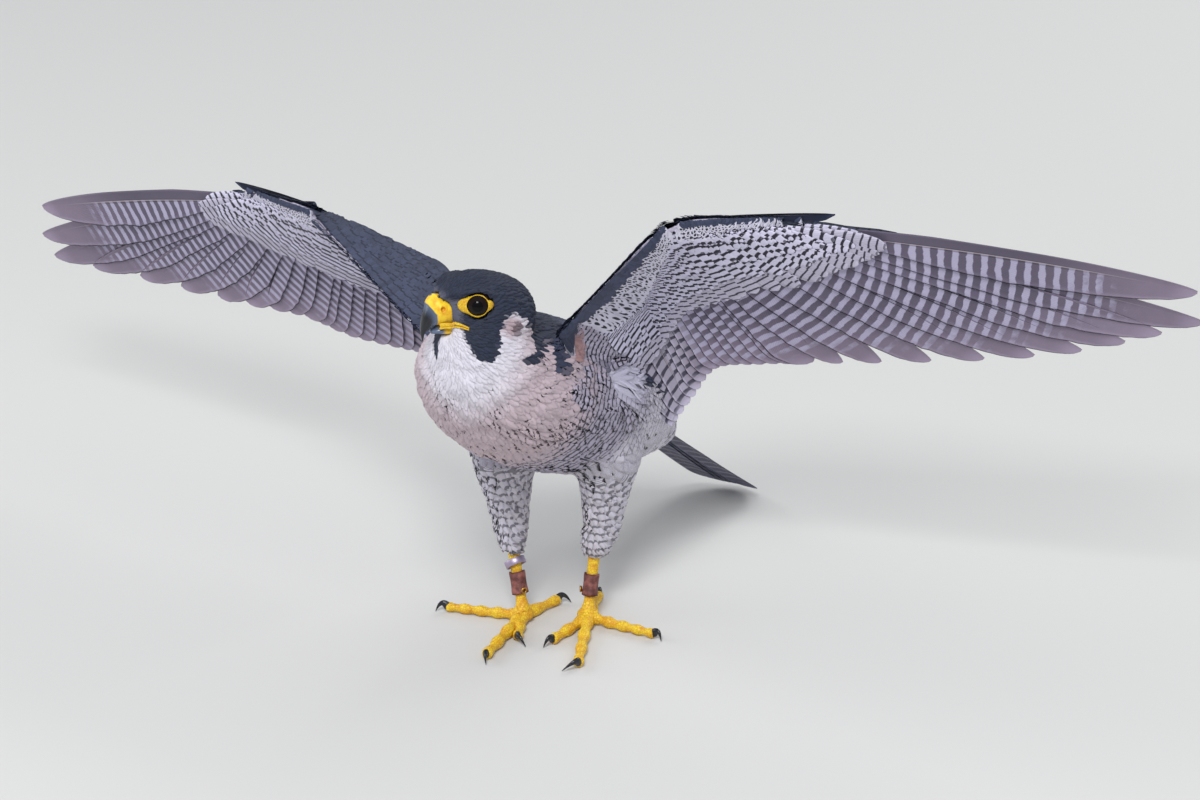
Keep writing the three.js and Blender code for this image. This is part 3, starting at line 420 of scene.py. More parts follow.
# %% One skin for the body
FLESH = ["torso", "neck", "head", "leg_left_thigh", "leg_right_thigh"]
COAT_DEPTH = 1.3
VOXEL = 2.0
MERGE_DISTANCE = 0.02
FOLD_DEPTH = 2.0


def merged_copy(node, name):
    copy = frame["nodes"][node].copy()
    copy.data = copy.data.copy()
    copy.name = name
    copy.parent = None
    for key in list(copy.keys()):
        del copy[key]
    bpy.context.scene.collection.objects.link(copy)
    edit_mesh(copy, bpy.ops.mesh.remove_doubles, threshold=MERGE_DISTANCE * MM)
    return copy


arm_shapes = [BVHTree.FromObject(arm, bpy.context.evaluated_depsgraph_get()) for arm in arms]
skin = join([merged_copy(node, "flesh") for node in FLESH] + arms, "skin")
apply_modifier(skin, "REMESH", mode="VOXEL", voxel_size=VOXEL * MM)
apply_modifier(skin, "SMOOTH", factor=0.5, iterations=10)
apply_modifier(skin, "DISPLACE", strength=-COAT_DEPTH * MM, mid_level=0)
skin.data.materials.clear()
skin.data.shade_smooth()
print("skin faces:", len(skin.data.polygons))


def fold_depth(points):
    """Soft hollows between the clumps of breast and belly feathers, in mm."""
    x, y, z = points.T
    bend = 3 * np.sin(0.11 * z + 0.05 * x) + 2 * np.sin(0.17 * x - 0.09 * y)
    first = np.sin(0.33 * x + 0.21 * z + bend)
    second = np.sin(0.19 * x - 0.27 * z + 0.13 * y + 0.6 * bend)
    low = step(214, 196, z) * step(-10, -40, y + 0.2 * z - 40)
    return (0.55 * (1 + first) ** 2 / 4 + 0.45 * (1 + second) ** 2 / 4) * FOLD_DEPTH * low


skin_start = own_points(skin)
sunk = vertex_values(skin, "normal") * fold_depth(skin_start)[:, None]
set_points(skin, skin_start - sunk)
print("deepest fold in mm:", round(float(np.linalg.norm(sunk, axis=1).max()), 2))

# %% [markdown]
# The skin is unwrapped by its own shape. Every small feather later gets a tiny patch of
# that map where its root sits, so that colours baked to a picture stay in their place.

# %% The skin's unwrap and its nearest points
edit_mesh(skin, bpy.ops.mesh.quads_convert_to_tris)
edit_mesh(skin, bpy.ops.uv.smart_project, angle_limit=math.radians(66), island_margin=0.004)
skin.data.uv_layers[0].name = "OFBake"
skin_points = own_points(skin)
corner_count = len(skin.data.loops)
skin_corners = np.zeros(corner_count, int)
skin.data.loops.foreach_get("vertex_index", skin_corners)
skin_faces = skin_corners.reshape(-1, 3)
skin_uv = np.zeros(corner_count * 2)
skin.data.uv_layers[0].uv.foreach_get("vector", skin_uv)
skin_uv = skin_uv.reshape(-1, 3, 2)
skin_normals = vertex_values(skin, "normal")
skin_shape = BVHTree.FromPolygons(skin_points.tolist(), skin_faces.tolist())


def on_skin(points):
    """Nearest skin point, its smooth normal and its place on the unwrap."""
    found = [skin_shape.find_nearest(Vector(p)) for p in points]
    places = np.array([tuple(f[0]) for f in found])
    faces = np.array([f[2] for f in found])
    corners = skin_points[skin_faces[faces]]
    a, b, c = corners[:, 0], corners[:, 1], corners[:, 2]
    across, along, off = b - a, c - a, places - a
    d00, d01, d11 = (across**2).sum(1), (across * along).sum(1), (along**2).sum(1)
    d20, d21 = (off * across).sum(1), (off * along).sum(1)
    scale = np.maximum(d00 * d11 - d01 * d01, 1e-12)
    v = (d11 * d20 - d01 * d21) / scale
    w = (d00 * d21 - d01 * d20) / scale
    weights = np.clip(np.stack([1 - v - w, v, w], 1), 0, 1)
    normals = unit((skin_normals[skin_faces[faces]] * weights[..., None]).sum(1))
    uv = (skin_uv[faces] * weights[..., None]).sum(1)
    return places, normals, uv


print("skin vertices:", len(skin_points))

# %% [markdown]
# ## Markings
# The colours of skin and feathers come from one function of the place on the body, so a
# gap between two feathers never shows a wrong colour. It returns the ground colour, the colour
# of the dark marks, and what marks a feather there carries: how many bars, how wide, and how
# large a drop-shaped spot. The hood, the stripe below the eye and the white cheek are told
# apart in the head's own axes. The slate feathers before each shoulder and the bare salmon
# patch beside them have places of their own.

# %% Colours of the plumage


def srgb(red, green, blue):
    values = np.array([red, green, blue], float) / 255
    return np.where(values < 0.04045, values / 12.92, ((values + 0.055) / 1.055) ** 2.4)


SLATE_BLACK = srgb(38, 44, 62)
SLATE = srgb(56, 62, 84)
WHITE = srgb(224, 221, 232)
BUFF = srgb(200, 182, 190)
LILAC = srgb(182, 176, 196)
MARK = srgb(48, 46, 58)
FOREHEAD = srgb(128, 128, 146)
DOWN = srgb(216, 214, 234)
SALMON = srgb(170, 132, 130)
EAR_PINK = srgb(190, 168, 176)
EAR_DARK = srgb(84, 66, 76)
TUFT_PLACE = np.array([46, 3, 164.0])
TUFT_FORM = np.array([1, 0.8, 0.9])
PATCH_PLACE = np.array([40.5, -38.5, 196.5])
PATCH_FORM = np.array([9, 7.5, 9.5])
TONGUE_TOP = np.array([37, -49.5, 209.0])
TONGUE_END = np.array([40, -57.5, 195.5])
BODY_START = np.array([0, -77, 213.0])
BODY_AXIS = unit([0, 0.814, -0.581])
BODY_UP = unit([0, 0.581, 0.814])


def mix(first, second, share):
    share = np.asarray(share, float)[..., None]
    return first * (1 - share) + second * share


def head_places(points):
    off = points - HEAD_CENTRE
    return off @ head_forward, off @ head_left, off @ head_up


def depth_inside(places, corners):
    """How far flat places lie inside a closed outline, negative outside."""
    corners = np.asarray(corners, float)
    away = np.full(len(places), 1e9)
    inside = np.zeros(len(places), bool)
    for p, q in zip(corners, np.roll(corners, -1, 0)):
        edge = q - p
        share = np.clip((places - p) @ edge / (edge @ edge), 0, 1)
        away = np.minimum(away, np.linalg.norm(places - p - share[:, None] * edge, axis=1))
        crosses = (p[1] > places[:, 1]) != (q[1] > places[:, 1])
        slant = edge[0] / edge[1] if edge[1] else 0.0
        inside ^= crosses & (places[:, 0] < p[0] + (places[:, 1] - p[1]) * slant)
    return np.where(inside, away, -away)


HOOD_OUTLINE = [
    (34, 2), (31, -6), (21.2, -6.6), (20.8, -9.5), (19.8, -13), (16.4, -19.5), (13, -24.5),
    (10.4, -22.6), (7.6, -24.2), (3.8, -18.4), (2.2, -10.5), (-0.6, -2.8), (-2.8, 1.2), (-8.5, 2.2),
    (-13.5, -0.6), (-18.6, -6), (-22.3, -11), (-24.2, -15), (-23.6, -18.5), (-21.3, -20.6),
    (-12.8, -21.4), (-9, -23), (-14, -25.4), (-20, -26.6), (-26, -25.8), (-30, -22.8),
    (-32, -19.8), (-38, -18), (-70, -17), (-70, 50), (50, 50), (50, 2),
]


def hood_mask(points):
    """1 where the head and nape are slate black, 0 on white cheek and throat."""
    f, l, u = head_places(points)
    wobble = 0.7 * np.sin(f * 1.3 + u * 0.9) * np.cos(u * 1.7 - l)
    hood = step(-0.6, 0.6, depth_inside(np.stack([f, u], 1), HOOD_OUTLINE) + wobble)
    chin = step(-4, -8, u) * step(-4, 0, f) * step(15, 12, np.abs(l))
    far_middle = np.interp(u, [-29.5, -25.6, -21.4, -14], [0.6, -2, -3.6, -4.5])
    far_half = np.interp(u, [-30, -29, -25.6, -21.4, -14], [0, 0.8, 2.2, 3.4, 5])
    far_tip = np.abs(l - far_middle) - far_half
    spike = step(0.5, -0.5, far_tip) * step(-30.5, -29.5, u) * step(-9, -11, u) * (f > 4)
    return np.maximum(hood * (1 - chin), spike)


def tongue(points):
    """1 on the slate feathers that hang down in front of each shoulder."""
    beside = points * np.where(points[:, :1] < 0, [-1, 1, 1], 1)
    run = TONGUE_END - TONGUE_TOP
    share = np.clip((beside - TONGUE_TOP) @ run / (run @ run), 0, 1)
    apart = np.linalg.norm(beside - TONGUE_TOP - share[:, None] * run, axis=1)
    return step(9.5, 7.5, apart + 1.5 * share)


def leg_share(points):
    """0 on the body and 1 on the thighs."""
    return step(112, 96, points[..., 2])


def tuft_distance(points):
    return np.linalg.norm((points - TUFT_PLACE) * TUFT_FORM, axis=1)


def plumage(points, normals):
    """Colours and marks of a feather that grows at each point."""
    f, l, u = head_places(points)
    along = (points - BODY_START) @ BODY_AXIS
    sideways = np.abs(points[:, 0])
    height = (points - BODY_START) @ BODY_UP
    facing = normals @ BODY_UP
    on_head = step(-36, -30, u + 0.35 * np.minimum(f, 0) + 8)
    leg = leg_share(points)
    edge = 1.2 * np.sin(along * 0.7) + 0.8 * np.sin(along * 1.9 + 1)
    back = step(6.5, 10.5, height + 5 * facing + edge)
    back = back * (1 - leg * step(60, 30, along))
    behind = np.maximum(1 - on_head, step(-17, -24, f))
    back = np.maximum(back, tongue(points))
    dark = np.maximum(hood_mask(points) * on_head, back * behind)
    chest = mix(WHITE, BUFF, step(-8, 20, along + 0.25 * sideways))
    rear = np.maximum(step(48, 84, along + 0.3 * (sideways - 20)), leg)
    pale = mix(chest, LILAC, rear)
    pale = mix(pale, WHITE, step(104, 122, along) * 0.7)
    pink = step(8.5, 3, np.hypot(f + 5.5, u + 4.8)) * on_head
    smudge = step(4.6, 1.2, np.hypot((f + 9.6) * 0.95, (u + 6.6) * 0.75)) * on_head
    pale = mix(mix(pale, EAR_PINK, pink * 0.95), EAR_DARK, smudge * 0.9)
    crown = mix(SLATE_BLACK, SLATE, step(6, 50, along) * (1 - on_head))
    tone = mix(pale, crown, dark)
    near_cere = step(31.5, 35.5, f + 0.28 * u) * step(5, 8, u) * 0.6
    lores = step(19, 23, f) * step(8, 5, np.abs(u - 3)) * step(4, 8, np.abs(l)) * 0.4
    tone = mix(tone, FOREHEAD, np.maximum(near_cere, lores) * on_head)
    tuft = step(18, 11, tuft_distance(points))
    tone = mix(tone, DOWN, tuft)
    dark = dark * (1 - tuft)
    soft_mark = mix(np.broadcast_to(MARK, tone.shape), tone, 0.15 + 0.15 * leg)
    ink = mix(soft_mark, SLATE_BLACK * 0.7, dark)
    pale_part = (1 - dark) * (1 - tuft)
    barred = np.maximum(step(46, 72, along + 0.45 * (sideways - 25)), leg)
    barred = barred * pale_part * (1 - 0.5 * step(100, 118, along) * (1 - leg))
    bars = np.maximum(barred, 0.6 * dark * step(50, 110, along))
    width = 0.3 * barred + 0.28 * dark
    drops = 0.3 * step(12, 60, along + 0.4 * (sideways - 25)) * (1 - barred) * pale_part
    drops = drops * step(0.3, 0.0, barred)
    return tone, ink, columns(bars, width * (bars > 0.15), drops, dark)


# %% [markdown]
# ## Shader tools
# Materials are written as sums. One small class holds a socket, and adding, taking away or
# multiplying it makes the Math node for that step. Colours are mixed with Mix nodes, because a
# Math node would turn them grey.

# %% A small class for shader sums


class Value:
    """A socket in a node tree that can be reckoned with like a number."""

    def __init__(self, tree, out):
        self.tree = tree
        self.out = out

    def node(self, kind, settings=None, inputs=None, output=0):
        made = self.tree.nodes.new(kind)
        for name, setting in (settings or {}).items():
            setattr(made, name, setting)
        for name, given in (inputs or {}).items():
            if isinstance(given, Value):
                self.tree.links.new(given.out, made.inputs[name])
            else:
                made.inputs[name].default_value = given
        return Value(self.tree, made.outputs[output])

    def math(self, operation, other=0.0):
        return self.node("ShaderNodeMath", {"operation": operation}, {0: self, 1: other})

    def vector(self, operation, inputs, output=0):
        settings = {"operation": operation}
        return self.node("ShaderNodeVectorMath", settings, {0: self, **inputs}, output)

    def __add__(self, other):
        return self.math("ADD", other)

    def __sub__(self, other):
        return self.math("SUBTRACT", other)

    def __rsub__(self, other):
        return (self * -1.0).math("ADD", other)

    def __mul__(self, other):
        return self.math("MULTIPLY", other)

    __radd__ = __add__

    def scaled(self, factor):
        """This colour times a number."""
        return self.vector("SCALE", {"Scale": factor})

    def step(self, low, high):
        """0 below low, 1 above high, smooth between."""
        return self.node(
            "ShaderNodeMapRange",
            {"interpolation_type": "SMOOTHSTEP"},
            {"Value": self, "From Min": low, "From Max": high, "To Min": 0.0, "To Max": 1.0},
        )

    def mix(self, first, second):
        """The first colour where this value is 0, the second where it is 1."""
        return self.node(
            "ShaderNodeMix",
            {"data_type": "RGBA", "clamp_factor": True},
            {0: self, 6: first, 7: second},
            output=2,
        )


def colour(rgb):
    return (float(rgb[0]), float(rgb[1]), float(rgb[2]), 1.0)


def new_material(name, base, roughness, constants=None):
    """A material, the Principled shader in it, and a value to start sums from."""
    material = bpy.data.materials.new(name)
    material.use_nodes = True
    material.diffuse_color = colour(base)
    shader = material.node_tree.nodes["Principled BSDF"]
    shader.inputs["Base Color"].default_value = colour(base)
    shader.inputs["Roughness"].default_value = roughness
    for key, value in (constants or {}).items():
        shader.inputs[key].default_value = value
    place = material.node_tree.nodes.new("ShaderNodeTexCoord")
    return material, shader, Value(material.node_tree, place.outputs["Object"])


def feed(shader, name, value):
    value.tree.links.new(value.out, shader.inputs[name])


def attribute(start, name, output=0):
    return start.node("ShaderNodeAttribute", {"attribute_name": name}, output=output)


def channels(value, kind):
    """The parts of a colour or a vector."""
    return (value.node(kind, {}, {0: value}, output=k) for k in range(3))


def noise(start, scale, detail=4.0, roughness=0.55, stretch=None):
    place = start
    if stretch is not None:
        place = start.node("ShaderNodeMapping", {}, {"Vector": start, "Scale": stretch})
    inputs = {"Vector": place, "Scale": scale, "Detail": detail, "Roughness": roughness}
    return start.node("ShaderNodeTexNoise", {}, inputs)


def surface(shader, base, roughness, height, strength, distance):
    """Feeds a material's colour, its roughness and its relief."""
    feed(shader, "Base Color", base)
    feed(shader, "Roughness", roughness)
    inputs = {"Height": height, "Strength": strength, "Distance": distance}
    feed(shader, "Normal", height.node("ShaderNodeBump", {}, inputs))


# %% [markdown]
# A feather's colour is worked out on the feather itself. Its own map runs across the two webs
# and along the shaft. Bars are a wave, bent a little so that they point at the tip, and a drop
# is an ellipse near the end. Flight feathers count their bars along the shaft. On the body the
# wave follows the place on the bird, so that the bars of neighbours join into rows. Colours and
# marks come as attributes of each feather, so that one material serves the whole coat. The
# number of its bars is stored there as a share of twenty.

# %% The feather material


def feather_material(name, fine):
    material, shader, start = new_material(name, SLATE, 0.62, {"Specular IOR Level": 0.3})
    tone, ink, plan, more = (attribute(start, key) for key in ("tone", "ink", "plan", "more"))
    bars, width, drop = channels(plan, "ShaderNodeSeparateColor")
    seed, reach, web = channels(more, "ShaderNodeSeparateColor")
    darkness, fringe = attribute(start, "plan", 3), attribute(start, "more", 3)
    uv = start.node("ShaderNodeUVMap", {"uv_map": "vane"})
    u, v, _ = channels(uv, "ShaderNodeSeparateXYZ")
    side = (u - 0.5).math("ABSOLUTE") * 2.0
    wave_noise = noise(start, 150.0, 3.0)
    bend = side * side * (-0.12 if fine else -0.2)
    phase = attribute(start, "phase", 2) + bend + (wave_noise - 0.5) * 0.4 + seed * 0.2
    wave = (phase.math("FRACT") - 0.5).math("ABSOLUTE") * 2.0
    bar = ((wave - (1.0 - width)) * 6.0 + 0.5).step(0.0, 1.0)
    ends = (reach - v + (wave_noise - 0.5) * 0.2).step(-0.06, 0.06)
    bar = bar * (bars * MOST_BARS).step(0.1, 0.7) * ends
    bar = bar * (1.0 - web * (1.0 - (0.5 - u).step(-0.03, 0.03)))
    across = (u - 0.5) * (8.5 - width * 12.0)
    along = (v - 0.76 + (seed - 0.5) * 0.08) * 7.0
    spot = 1.0 - (across * across + along * along).step(0.5, 1.0)
    spot = spot * (drop - seed * 0.9).step(0.0, 0.08)
    mottle = noise(start, 90.0, 5.0)
    shade = 0.9 + seed * (darkness * 0.3 + 0.12) + (mottle - 0.5) * 0.22
    base = bar.math("MAXIMUM", spot).mix(tone.scaled(shade), ink)
    rim = side.step(0.76, 1.0).math("MAXIMUM", v.step(0.92, 0.99)) * fringe
    base = rim.mix(base, tone.scaled(2.1))
    barb = v * (300.0 if fine else 60.0) - side * (90.0 if fine else 26.0)
    barb = (barb + wave_noise * 6.0).math("SINE")
    base = ((barb * 0.5 + 0.5) * 0.5).mix(base, base.scaled(0.8))
    # Painted shade: a dark band on each side of the shaft stands for the shadow beside the raised
    # shaft, strongest on the flight feathers.
    shaft_shadow = side.step(0.02, 0.04) * (1.0 - side.step(0.07, 0.12)) * (0.92 - v).step(0.0, 0.4)
    base = (shaft_shadow * (0.75 if fine else 0.25)).mix(base, base.scaled(0.42))
    if fine:
        rib = (1.0 - side.step(0.02, 0.04)) * (0.95 - v).step(0.0, 0.3)
        base = (rib * 0.7).mix(base, colour(SHAFT_PALE))
    surface(shader, base, 0.55 + mottle * 0.25, barb, 0.2, 0.0002)
    return material


MOST_BARS = 20.0
SHAFT_PALE = srgb(176, 164, 168)
coat_material = feather_material("small_feathers", fine=False)
vane_material = feather_material("flight_feathers", fine=True)

# %% [markdown]
# ## One maker for every vane
# A feather is a thin lens: an upper and a lower face that meet at the two edges, a little
# thicker at the shaft, with its edges bent down. The maker takes many feathers at once as
# tables of points along their shafts, which keeps ten thousand of them quick.

# %% The vane maker
TIP_SOFTNESS = 0.4


def signed_volume(blocks, pattern):
    """Volume inside each block of points, negative where its faces point inwards."""
    fans = [(face[0], b, c) for face in pattern for b, c in zip(face[1:], face[2:])]
    a, b, c = (blocks[:, k] - blocks[:, :1] for k in np.array(fans).T)
    return (a * np.cross(b, c)).sum((1, 2))


def soften(piece, normal, size, width, share):
    """Turns the shading of each vane's upper face towards the surface that it lies on."""
    own = vertex_values(piece, "normal").reshape(*normal.shape[:2], size, 3)
    upper = (np.arange(size) < width)[:, None]
    upright = (own[:, 1:-1, width // 2] * normal[:, 1:-1]).sum(-1)
    upright = np.pad(upright, ((0, 0), (2, 2)), mode="edge")
    upright = np.minimum(np.minimum(upright[:, :-2], upright[:, 2:]), upright[:, 1:-1])
    share = share * step(0.0, 0.35, upright)[..., None, None]
    share[:, -1] *= TIP_SOFTNESS
    given = np.where(upper, unit(own * (1 - share) + normal[:, :, None] * share), own)
    piece.data.normals_split_custom_set_from_vertices(given.reshape(-1, 3).tolist())


def ring_pattern(stations, size, width):
    """Faces of one vane: quads round each stretch of it, and strips that close both ends."""
    pattern = [
        (k + j, k + (j + 1) % size, k + size + (j + 1) % size, k + size + j)
        for k in range(0, (stations - 1) * size, size)
        for j in range(size)
    ]
    for offset, flip in ((0, False), ((stations - 1) * size, True)):
        for j in range(width - 1):
            cell = list(dict.fromkeys([j, j + 1, (size - j - 1) % size, (size - j) % size]))
            pattern.append(tuple(offset + k for k in (cell if flip else cell[::-1])))
    return pattern


def add_map(piece, name, uv):
    corners = np.zeros(len(piece.data.loops), int)
    piece.data.loops.foreach_get("vertex_index", corners)
    layer = piece.data.uv_layers.new(name=name)
    layer.uv.foreach_set("vector", uv.reshape(-1, 2)[corners].ravel())
    return layer


def add_looks(piece, looks, shape, width):
    """Writes the colours, the marks and the phase of the bars on a vane's points."""
    bars = np.atleast_2d(looks["plan"])[:, :1] * MOST_BARS
    phase = np.broadcast_to(looks.get("phase", bars * looks["share"]), shape[:2])
    layer = piece.data.attributes.new("phase", "FLOAT", "POINT")
    layer.data.foreach_set("value", np.repeat(phase.ravel(), shape[2]))
    for key in ("tone", "ink", "plan", "more"):
        values = np.atleast_2d(np.asarray(looks[key], float))
        if values.ndim == 2:
            values = values[:, None]
        full = np.ones((*shape, 4))
        full[..., : values.shape[-1]] = values[:, :, None]
        if key in looks.get("upper", {}):
            full[:, :, 1 : width - 1, :3] = looks["upper"][key]
        layer = piece.data.attributes.new(key, "FLOAT_COLOR", "POINT")
        layer.data.foreach_set("color", full.ravel())


def vane_piece(
    name, centre, side, normal, rear, front, across_at, half, camber, looks, patches, soft=0.5
):
    """Closed vanes for all feathers. centre, side and normal hold a point or direction for each
    feather and station, rear and front the half widths there, and half the half thickness."""
    count, stations = rear.shape
    spread = np.asarray(across_at, float)
    reach = np.where(spread < 0, rear[..., None], front[..., None]) * spread
    lens = np.broadcast_to(half, rear.shape)[..., None] * (1 - spread**2)
    sag = camber[..., None] * spread**2
    middle = centre[:, :, None] + side[:, :, None] * reach[..., None]
    top = middle + normal[:, :, None] * (lens - sag)[..., None]
    bottom = middle + normal[:, :, None] * (-lens - sag)[..., None]
    ring = np.concatenate([top, bottom[:, :, -2:0:-1]], 2)
    shape = ring.shape[:3]
    width, block = len(spread), stations * shape[2]
    pattern = ring_pattern(stations, shape[2], width)
    mirrored = [face[::-1] for face in pattern]
    volume = signed_volume(ring.reshape(count, block, 3), pattern)
    faces = []
    for i in range(count):
        chosen = pattern if volume[i] > 0 else mirrored
        faces.extend(tuple(i * block + k for k in face) for face in chosen)
    piece = new_piece(name, ring.reshape(-1, 3), faces)
    ring_share = np.concatenate([spread, spread[-2:0:-1]])
    across = np.broadcast_to((ring_share + 1) / 2, shape)
    shares = np.broadcast_to(looks["share"][:, None], shape)
    own_map = add_map(piece, "vane", np.stack([across, shares], -1))
    add_map(piece, "OFBake", patches(across, shares))
    add_looks(piece, looks, shape, width)
    piece.data.uv_layers.active = own_map
    soften(piece, normal, shape[2], width, soft)
    return piece


def root_patches(uv):
    """A patch of the skin's unwrap for each feather, at its root."""
    size = 0.003

    def place(across, shares):
        x = uv[:, None, None, 0] + (across - 0.5) * size
        y = uv[:, None, None, 1] + (shares - 0.5) * size
        return np.clip(np.stack([x, y], -1), 0.0005, 0.9995)

    return place


def strip_patches(count):
    """A strip of its own on the map for each large feather."""

    def place(across, shares):
        index = np.arange(count)[:, None, None]
        x = (index + 0.06 + 0.88 * across) / count
        return np.stack([x, 0.01 + 0.98 * shares], -1)

    return place


def outline(shares, tip_from, tip_width, start=0.45, rise=1.6):
    """Width of a vane along its length, as a share of the widest."""
    body = np.minimum(1, start + rise * shares)
    t = np.clip((shares - tip_from) / (1 - tip_from), 0, 1)
    return body * np.maximum(tip_width, np.sqrt(np.maximum(0, 1 - t * t)))


# %% [markdown]
# ## Flight feathers
# Each flight feather reaches from its root on the bone to its tip, with a narrow front web
# and a wide rear web. Its front edge is raised and its rear edge lowered, so it lies over the
# next one like a roof tile. From below, the wide rear webs show pale bars for most of their
# length and end plain. The upper side is slate with fainter bars, and the innermost feathers
# have dark bars on a pale ground.

# %% Flight feathers of both wings
PRIMARY_FORM = {"front": 6.5, "rear": 19, "tip_from": 0.62, "tip_width": 0.1, "sweep": 0.006}
SECONDARY_FORM = {"front": 10, "rear": 17, "tip_from": 0.84, "tip_width": 0.16, "sweep": 0.0}
OUTERMOST_FRONT = 8.0
DARK_BARRED_FROM = 18
VANE_LAYER = 0.95
BAR_LENGTH = 8.2
WING_DARK = srgb(98, 91, 110)
WING_TIP = srgb(138, 126, 146)
WING_PALE = srgb(176, 171, 198)
WING_UPPER = srgb(66, 70, 88)
WING_UPPER_BAR = srgb(98, 100, 118)
COLUMNS_FINE = [-1, -0.93, -0.66, -0.33, -0.07, 0, 0.12, 0.5, 0.85, 1]


def flight_feathers(label, wing):
    stations = 30
    shares = np.sin(np.linspace(0, math.pi / 2, stations)) ** 0.9
    numbers = np.arange(FEATHERS)
    shape = (FEATHERS, stations)
    centre, side, normal = (np.zeros((*shape, 3)) for _ in range(3))
    rear, front, half, camber = (np.zeros(shape) for _ in range(4))
    plan = np.zeros((FEATHERS, 4))
    for n in numbers:
        form = PRIMARY_FORM if n < PRIMARIES else SECONDARY_FORM
        root, tip = wing.root(n), wing.tip(n)
        length = np.linalg.norm(tip - root)
        ragged = 1 + 0.018 * draw.standard_normal(stations)
        for k, share in enumerate(shares):
            step_out = wing.step_ahead(n, share)
            spacing = max(2.5, np.linalg.norm(step_out))
            across, dorsal = unit(step_out), wing.dorsal(n, share)
            bow = form["sweep"] * length * math.sin(math.pi * share)
            droop = -0.012 * length * share**2 + 0.01 * length * math.sin(math.pi * share)
            centre[n, k] = root + (tip - root) * share + across * bow + dorsal * droop
            side[n, k] = across + dorsal * VANE_LAYER / spacing
            normal[n, k] = dorsal
            shape_here = outline(share, form["tip_from"], form["tip_width"])
            narrow = min(1, 2 * spacing / (form["front"] + form["rear"]))
            ahead = OUTERMOST_FRONT if n == 0 else form["front"] * narrow
            front[n, k] = ahead * shape_here
            rear[n, k] = form["rear"] * shape_here * narrow * ragged[k]
            half[n, k] = 0.16 + 0.5 * max(0, 1 - share * 1.15)
            camber[n, k] = 0.35 + 0.9 * shape_here * narrow
        plan[n] = (length / BAR_LENGTH / MOST_BARS, 0.46, 0, 1)
    count = FEATHERS
    seeds = draw.random(count)
    reach = np.interp(numbers, [0, 3, 9, 12, 25], [0.76, 0.8, 0.86, 0.93, 0.97])
    web = np.interp(numbers, [0, 9, 11, 25], [1, 1, 0.35, 0.2])
    inner = mix(np.tile(WING_DARK, (count, 1)), LILAC, step(15, 19, numbers))
    ends = mix(inner, WING_TIP, step(24, 14, numbers))
    tone = mix(inner[:, None], ends[:, None], np.tile(step(0.55, 0.95, shares), (count, 1)))
    ink = np.tile(WING_PALE, (count, 1))
    swap = numbers >= DARK_BARRED_FROM
    ink[swap] = MARK * 2.4
    plan[swap, 1] = 0.36
    looks = {
        "share": shares,
        "tone": tone, "ink": ink, "plan": plan, "more": columns(seeds * 0.4, reach, web, 0.35),
        "upper": {"tone": WING_UPPER, "ink": WING_UPPER_BAR},
    }
    return vane_piece(
        f"flight_feathers_{label}", centre, side, normal, rear, front, COLUMNS_FINE, half, camber,
        looks, strip_patches(count),
    )


flights = {label: flight_feathers(label, wing) for label, wing in wings.items()}
print("faces in one wing's flight feathers:", len(flights["left"].data.polygons))

# %% [markdown]
# ## Coverts
# Small feathers cover the arm in tiers, above and below, each tier lying over the next one
# behind it. A tier is given by where its roots and tips stand on the way from the leading
# edge to the ends of the coverts. Below, the longest are lilac-grey and barred, the next are
# pale with dark waves, then come white ones with dark drops, and slate ones line the leading
# edge. Above, all are slate with paler rims.

# %% A point on the wing's surface


def wing_surface(wing, number, share, face):
    """A point on the arm's upper (1) or lower (-1) face, and its normal."""
    number = min(max(number, -0.9), FEATHERS + 1.5)
    stops, _ = arm_section(wing, number)
    held = min(max(number, 0), FEATHERS - 1)
    ends = wing.root(held) + (wing.tip(held) - wing.root(held)) * covert_share(held)
    ends = ends + (stops[2][0] - wing.root(held))
    line = [s[0] for s in stops] + [ends]
    normals = [s[1] for s in stops] + [wing.dorsal(held, covert_share(held))]
    halves = [s[2] for s in stops] + [1.6]
    marks = [0, 0.14, 0.3, 0.5, 0.72, 1.0]
    share = min(max(share, 0.0), 1.15)
    i = min(max(np.searchsorted(marks, share) - 1, 0), 4)
    t = (share - marks[i]) / (marks[i + 1] - marks[i])
    point = line[i] + (line[i + 1] - line[i]) * t
    normal = unit(normals[i] + (normals[i + 1] - normals[i]) * min(t, 1))
    height = halves[i] + (halves[i + 1] - halves[i]) * min(t, 1)
    return point + normal * face * height, normal * face


# %% One tier of coverts, and a coat of tiers
STATIONS_COVERT = np.array([0.0, 0.2, 0.45, 0.7, 0.88, 0.97, 1.0])
COLUMNS_COVERT = [-1, -0.5, 0, 0.5, 1]
COVERT_OVERLAP = 1.1
COVERT_HALF = 0.11
SEEN_COVERT_STATION = 3
Look = namedtuple("Look", "tone ink gap bar_width drop rim dark")
Tier = namedtuple("Tier", "look first last count root tip width lift tip_from", defaults=[0.55])


def tier_table(wing, face, tier):
    """Shaft points, sides, normals and half widths of one tier's feathers."""
    numbers = np.linspace(tier.first, tier.last, tier.count)
    numbers = numbers + draw.normal(0, 0.18 * (numbers[1] - numbers[0]), tier.count)
    centre = np.zeros((tier.count, len(STATIONS_COVERT), 3))
    normal = np.zeros_like(centre)
    roots = tier.root + draw.normal(0, 0.008, tier.count)
    tips = tier.tip + draw.normal(0, 0.012, tier.count)
    for i, number in enumerate(numbers):
        for k, share in enumerate(STATIONS_COVERT):
            at = roots[i] + (tips[i] - roots[i]) * share
            point, facing = wing_surface(wing, number, at, face)
            centre[i, k] = point + facing * (-0.5 + (0.5 + tier.lift) * share)
            normal[i, k] = facing
    side = unit(np.cross(normal, np.gradient(centre, axis=1)))
    gap = np.linalg.norm(np.diff(centre[:, SEEN_COVERT_STATION], axis=0), axis=1)
    gap = np.append(gap, gap[-1])
    gap = np.clip(gap, np.median(gap) * 0.5, np.median(gap) * 1.6)
    half_width = np.minimum(tier.width, gap * COVERT_OVERLAP)
    rounded = outline(STATIONS_COVERT, tier.tip_from, 0.12, 0.5, 2.0)
    return centre, side, normal, half_width[:, None] * rounded


